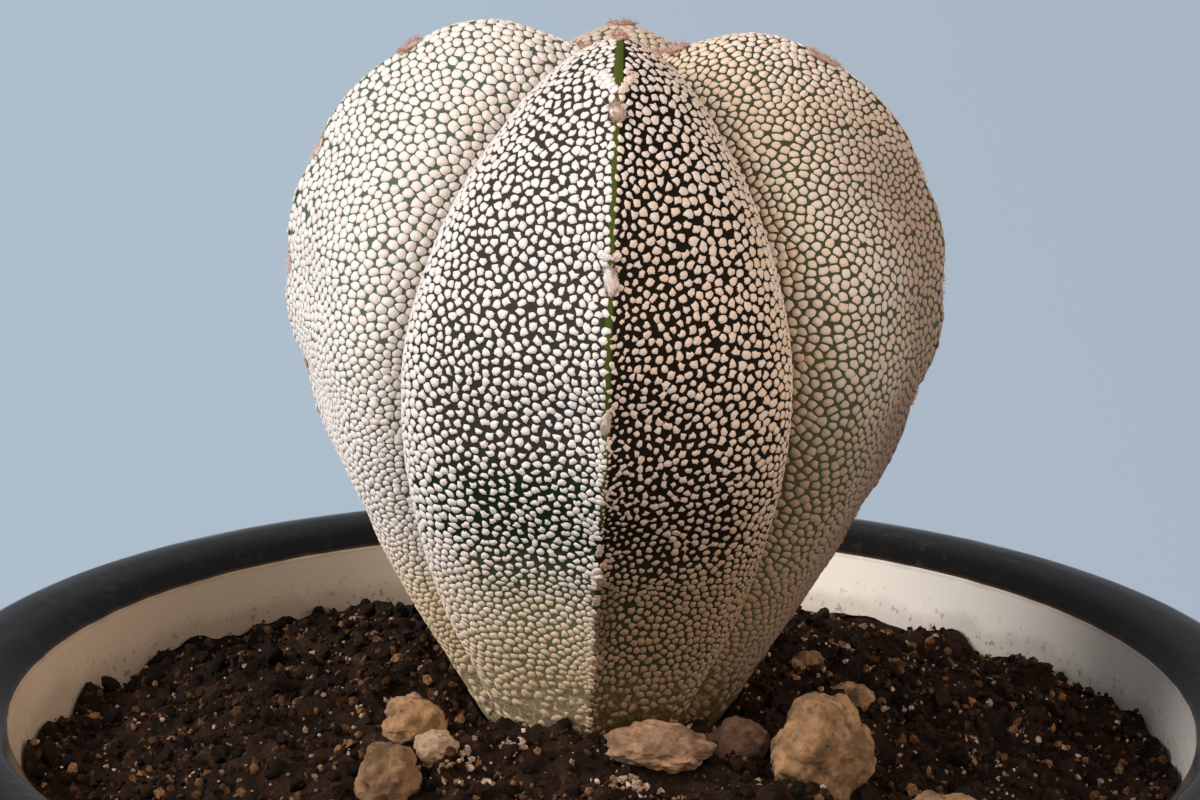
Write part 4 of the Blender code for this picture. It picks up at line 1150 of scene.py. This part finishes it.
tuffs = [tuff_finish(name, tone) for name, tone in TUFF_TONES]
for number in range(len(STONES)):
    kind = number % len(tuffs)
    stone = finished(stone_bm(number), f"tuff_{number + 1:02d}", tuffs[kind])
    note(stone.data, "damp", [STONES_DAMP.get(number + 1, 0.0)] * len(stone.data.vertices))
    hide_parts(f"stone_{number + 1:02d}")

# The top of the mix is loose: lumps and crumbs of black peat, bits of brown bark, and pale grains of grit.
# They lie as they fell, each one sunk into the soil by a part of its size.
CRUMB_SEED = 41
CRUMBS = (("peat_lumps", 2, 1000, (0.5, 1.25), ((0.005, 0.0032, 0.0025), (0.034, 0.016, 0.008))),
          ("peat_crumbs", 1, 5200, (0.22, 0.62), ((0.007, 0.0045, 0.003), (0.070, 0.032, 0.015))),
          ("bark_bits", 1, 1900, (0.22, 0.80), ((0.085, 0.038, 0.016), (0.36, 0.18, 0.08))),
          ("pale_grit", 1, 1900, (0.16, 0.46), ((0.34, 0.20, 0.12), (0.76, 0.58, 0.46))))
CRUMB_SHAPES = 9
CRUMB_SHADE = (0.012, 0.008, 0.006)
CRUMBS_INNER = 12.6           # they lie between the neck and the wall
CRUMBS_OUTER_GAP = 0.6
STONE_CLEAR = 0.75            # none lies nearer to a stone's middle than this share of its half length
FINE_PATCH = (1.0, -21.0)     # the bits in front of the neck are finer
FINE_PATCH_REACH = (6.0, 15.0)
FINER = 0.3
PINCHES = ((-7.6, -15.4, 0.7, 34),     # x, y, spread and number of pale grains that lie together
           (-11.9, -17.3, 0.35, 10),
           (-12.2, -20.6, 2.2, 40),
           (3.6, -22.2, 1.8, 80))
PINCH_LARGER = 1.25


def crumb_shapes(level):
    """Corner places of several broken lumps that share one topology, and its triangles."""
    shapes = []
    for number in range(CRUMB_SHAPES):
        bm = bmesh.new()
        bmesh.ops.create_icosphere(bm, subdivisions=level, radius=1.0)
        for v in bm.verts:
            v.co *= 1.0 + 0.75 * noise.noise(v.co * 1.4 + Vector((9.0 * number, 4.0, level)))
        corners, triangles = template_arrays(bm)
        shapes.append(corners)
    return np.array(shapes), triangles


def turns(count):
    """Rotation matrices drawn at random."""
    q = draw_crumbs.normal(size=(count, 4))
    w, x, y, z = (q / np.linalg.norm(q, axis=1)[:, None]).T
    rows = ((1 - 2 * (y * y + z * z), 2 * (x * y - z * w), 2 * (x * z + y * w)),
            (2 * (x * y + z * w), 1 - 2 * (x * x + z * z), 2 * (y * z - x * w)),
            (2 * (x * z - y * w), 2 * (y * z + x * w), 1 - 2 * (x * x + y * y)))
    return np.array(rows).transpose(2, 0, 1)


def crumb_finish():
    crumb = Finish("loose mix", Roughness=0.95, Specular_IOR_Level=0.12)
    grain = crumb.noise(2.6, 4.0, 0.7)
    shade = 0.7 * crumb.step(grain, 0.62, 0.36)
    colour = crumb.mix(shade, crumb.read("crumb", "Color"), CRUMB_SHADE)
    return crumb.use(Base_Color=colour, Normal=crumb.bump(grain, 0.25))


def crumb_places(name, count, sizes):
    """Where loose bits lie, x and y, and their sizes, most of them small."""
    turn = draw_crumbs.uniform(0, 2 * math.pi, count)
    inner, outer = CRUMBS_INNER + sizes[0], top_radius - CRUMBS_OUTER_GAP
    out_by = np.sqrt(draw_crumbs.uniform(inner ** 2, outer ** 2, count))
    size = sizes[0] + (sizes[1] - sizes[0]) * draw_crumbs.uniform(0, 1, count) ** 2.2
    x, y = out_by * np.cos(turn), out_by * np.sin(turn)
    from_patch = np.hypot(x - FINE_PATCH[0], y - FINE_PATCH[1])
    size *= 1.0 - FINER * blend(FINE_PATCH_REACH[1], FINE_PATCH_REACH[0], from_patch)
    if name == "pale_grit":
        pinch = np.repeat(np.array(PINCHES), [row[3] for row in PINCHES], axis=0)
        moved = slice(0, len(pinch))
        x[moved], y[moved] = (pinch[:, :2] + pinch[:, 2:3] * draw_crumbs.normal(size=(len(pinch), 2))).T
        size[moved] *= PINCH_LARGER
    return x, y, size


draw_crumbs = np.random.default_rng(CRUMB_SEED)
crumb_material = crumb_finish()
for name, level, count, sizes, tones in CRUMBS:
    shapes, triangles = crumb_shapes(level)
    x, y, size = crumb_places(name, count, sizes)
    clear = np.ones(count, bool)
    for stone_x, stone_y, half_length, *_ in STONES:
        clear &= np.hypot(x - stone_x, y - stone_y) > STONE_CLEAR * half_length
    soil_here = np.array([soil_level(a, b) for a, b in zip(x, y)])
    flat = draw_crumbs.uniform(0.55, 1.0, (count, 3)) * size[:, None]
    co = shapes[draw_crumbs.integers(0, CRUMB_SHAPES, count)] * flat[:, None]
    co = np.einsum("nij,nkj->nki", turns(count), co)
    co += np.stack((x, y, soil_here + draw_crumbs.uniform(-0.1, 0.55, count) * size + 0.1), 1)[:, None]
    tone = draw_crumbs.uniform(0, 1, (count, 1)) ** 1.5
    tone = np.array(tones[0]) + (np.array(tones[1]) - tones[0]) * tone
    mesh = copies_mesh(name, co[clear], triangles)
    tint(mesh, "crumb", np.repeat(tone[clear], co.shape[1], axis=0))
    placed(mesh, name, crumb_material, sharp=50.0)

# The finished plant stands on a plain pale floor in the soft light of a studio: a wide window high on its
# left, and a weak warm lamp that fills its right. The camera looks down on it a little, at the rib that
# faces -Y.
FLOOR_SIZE = 6000.0
FLOOR_COLOUR = (0.388, 0.508, 0.633)
FLOOR_RIGHT = (0.362, 0.455, 0.575)    # where less of the window's light comes
FLOOR_TURN = (-0.12, 0.16)    # in metres across, where the one goes over into the other
FLOOR_GRAIN = (0.3, 0.4, 0.5)
CAMERA_PLACE = (-0.56, -371.1, 224.4)
CAMERA_PITCH = 15.03          # below level, in degrees
CAMERA_ROLL = 0.75            # clockwise picture, in degrees
LENS = 126.0
SENSOR = 36.0
CLIP = (0.01, 20.0)           # in metres
LAMPS = (("window", (-0.88, -0.30, 0.62), 40.0, 3.3, (1.0, 0.96, 0.92)),
         ("fill", (0.75, -0.85, 0.50), 70.0, 1.9, (1.0, 0.80, 0.62)))
ROOM_COLOUR = (0.88, 0.92, 1.0, 1.0)
ROOM_LIGHT = 0.28

stage_bm = bmesh.new()
bmesh.ops.create_grid(stage_bm, x_segments=1, y_segments=1, size=0.5 * FLOOR_SIZE * MM)
stage_mesh = bpy.data.meshes.new("studio_floor")
stage_bm.to_mesh(stage_mesh)
stage_bm.free()
paper = Finish("pale paper", Roughness=0.9)
across = paper.node("SeparateXYZ", None, {"Vector": paper.place}, "X")
paper_tone = paper.mix(paper.step(across, *FLOOR_TURN), FLOOR_COLOUR, FLOOR_RIGHT)
paper.use(Base_Color=paper.mix(0.06 * paper.noise(0.004, 2.0), paper_tone, FLOOR_GRAIN))
stage_mesh.materials.append(paper.material)
studio_floor = bpy.data.objects.new("studio_floor", stage_mesh)
bpy.context.scene.collection.objects.link(studio_floor)

for name, towards, spread_angle, power, colour in LAMPS:
    lamp = bpy.data.lights.new(name, "SUN")
    lamp.angle, lamp.energy, lamp.color = math.radians(spread_angle), power, colour
    lamp_object = bpy.data.objects.new(name, lamp)
    lamp_object.rotation_euler = Vector(towards).to_track_quat("Z", "Y").to_euler()
    bpy.context.scene.collection.objects.link(lamp_object)

world = bpy.data.worlds.new("studio")
world.use_nodes = True
room = world.node_tree.nodes["Background"].inputs
room["Color"].default_value, room["Strength"].default_value = ROOM_COLOUR, ROOM_LIGHT
bpy.context.scene.world = world
bpy.context.scene.view_settings.view_transform = "Standard"

lens = bpy.data.cameras.new("camera")
lens.lens, lens.sensor_width = LENS, SENSOR
lens.clip_start, lens.clip_end = CLIP
camera = bpy.data.objects.new("camera", lens)
camera.location = Vector(CAMERA_PLACE) * MM
tilt = Matrix.Rotation(math.radians(90.0 - CAMERA_PITCH), 3, "X")
camera.rotation_euler = (tilt @ Matrix.Rotation(math.radians(CAMERA_ROLL), 3, "Z")).to_euler()
bpy.context.scene.collection.objects.link(camera)
bpy.context.scene.camera = camera
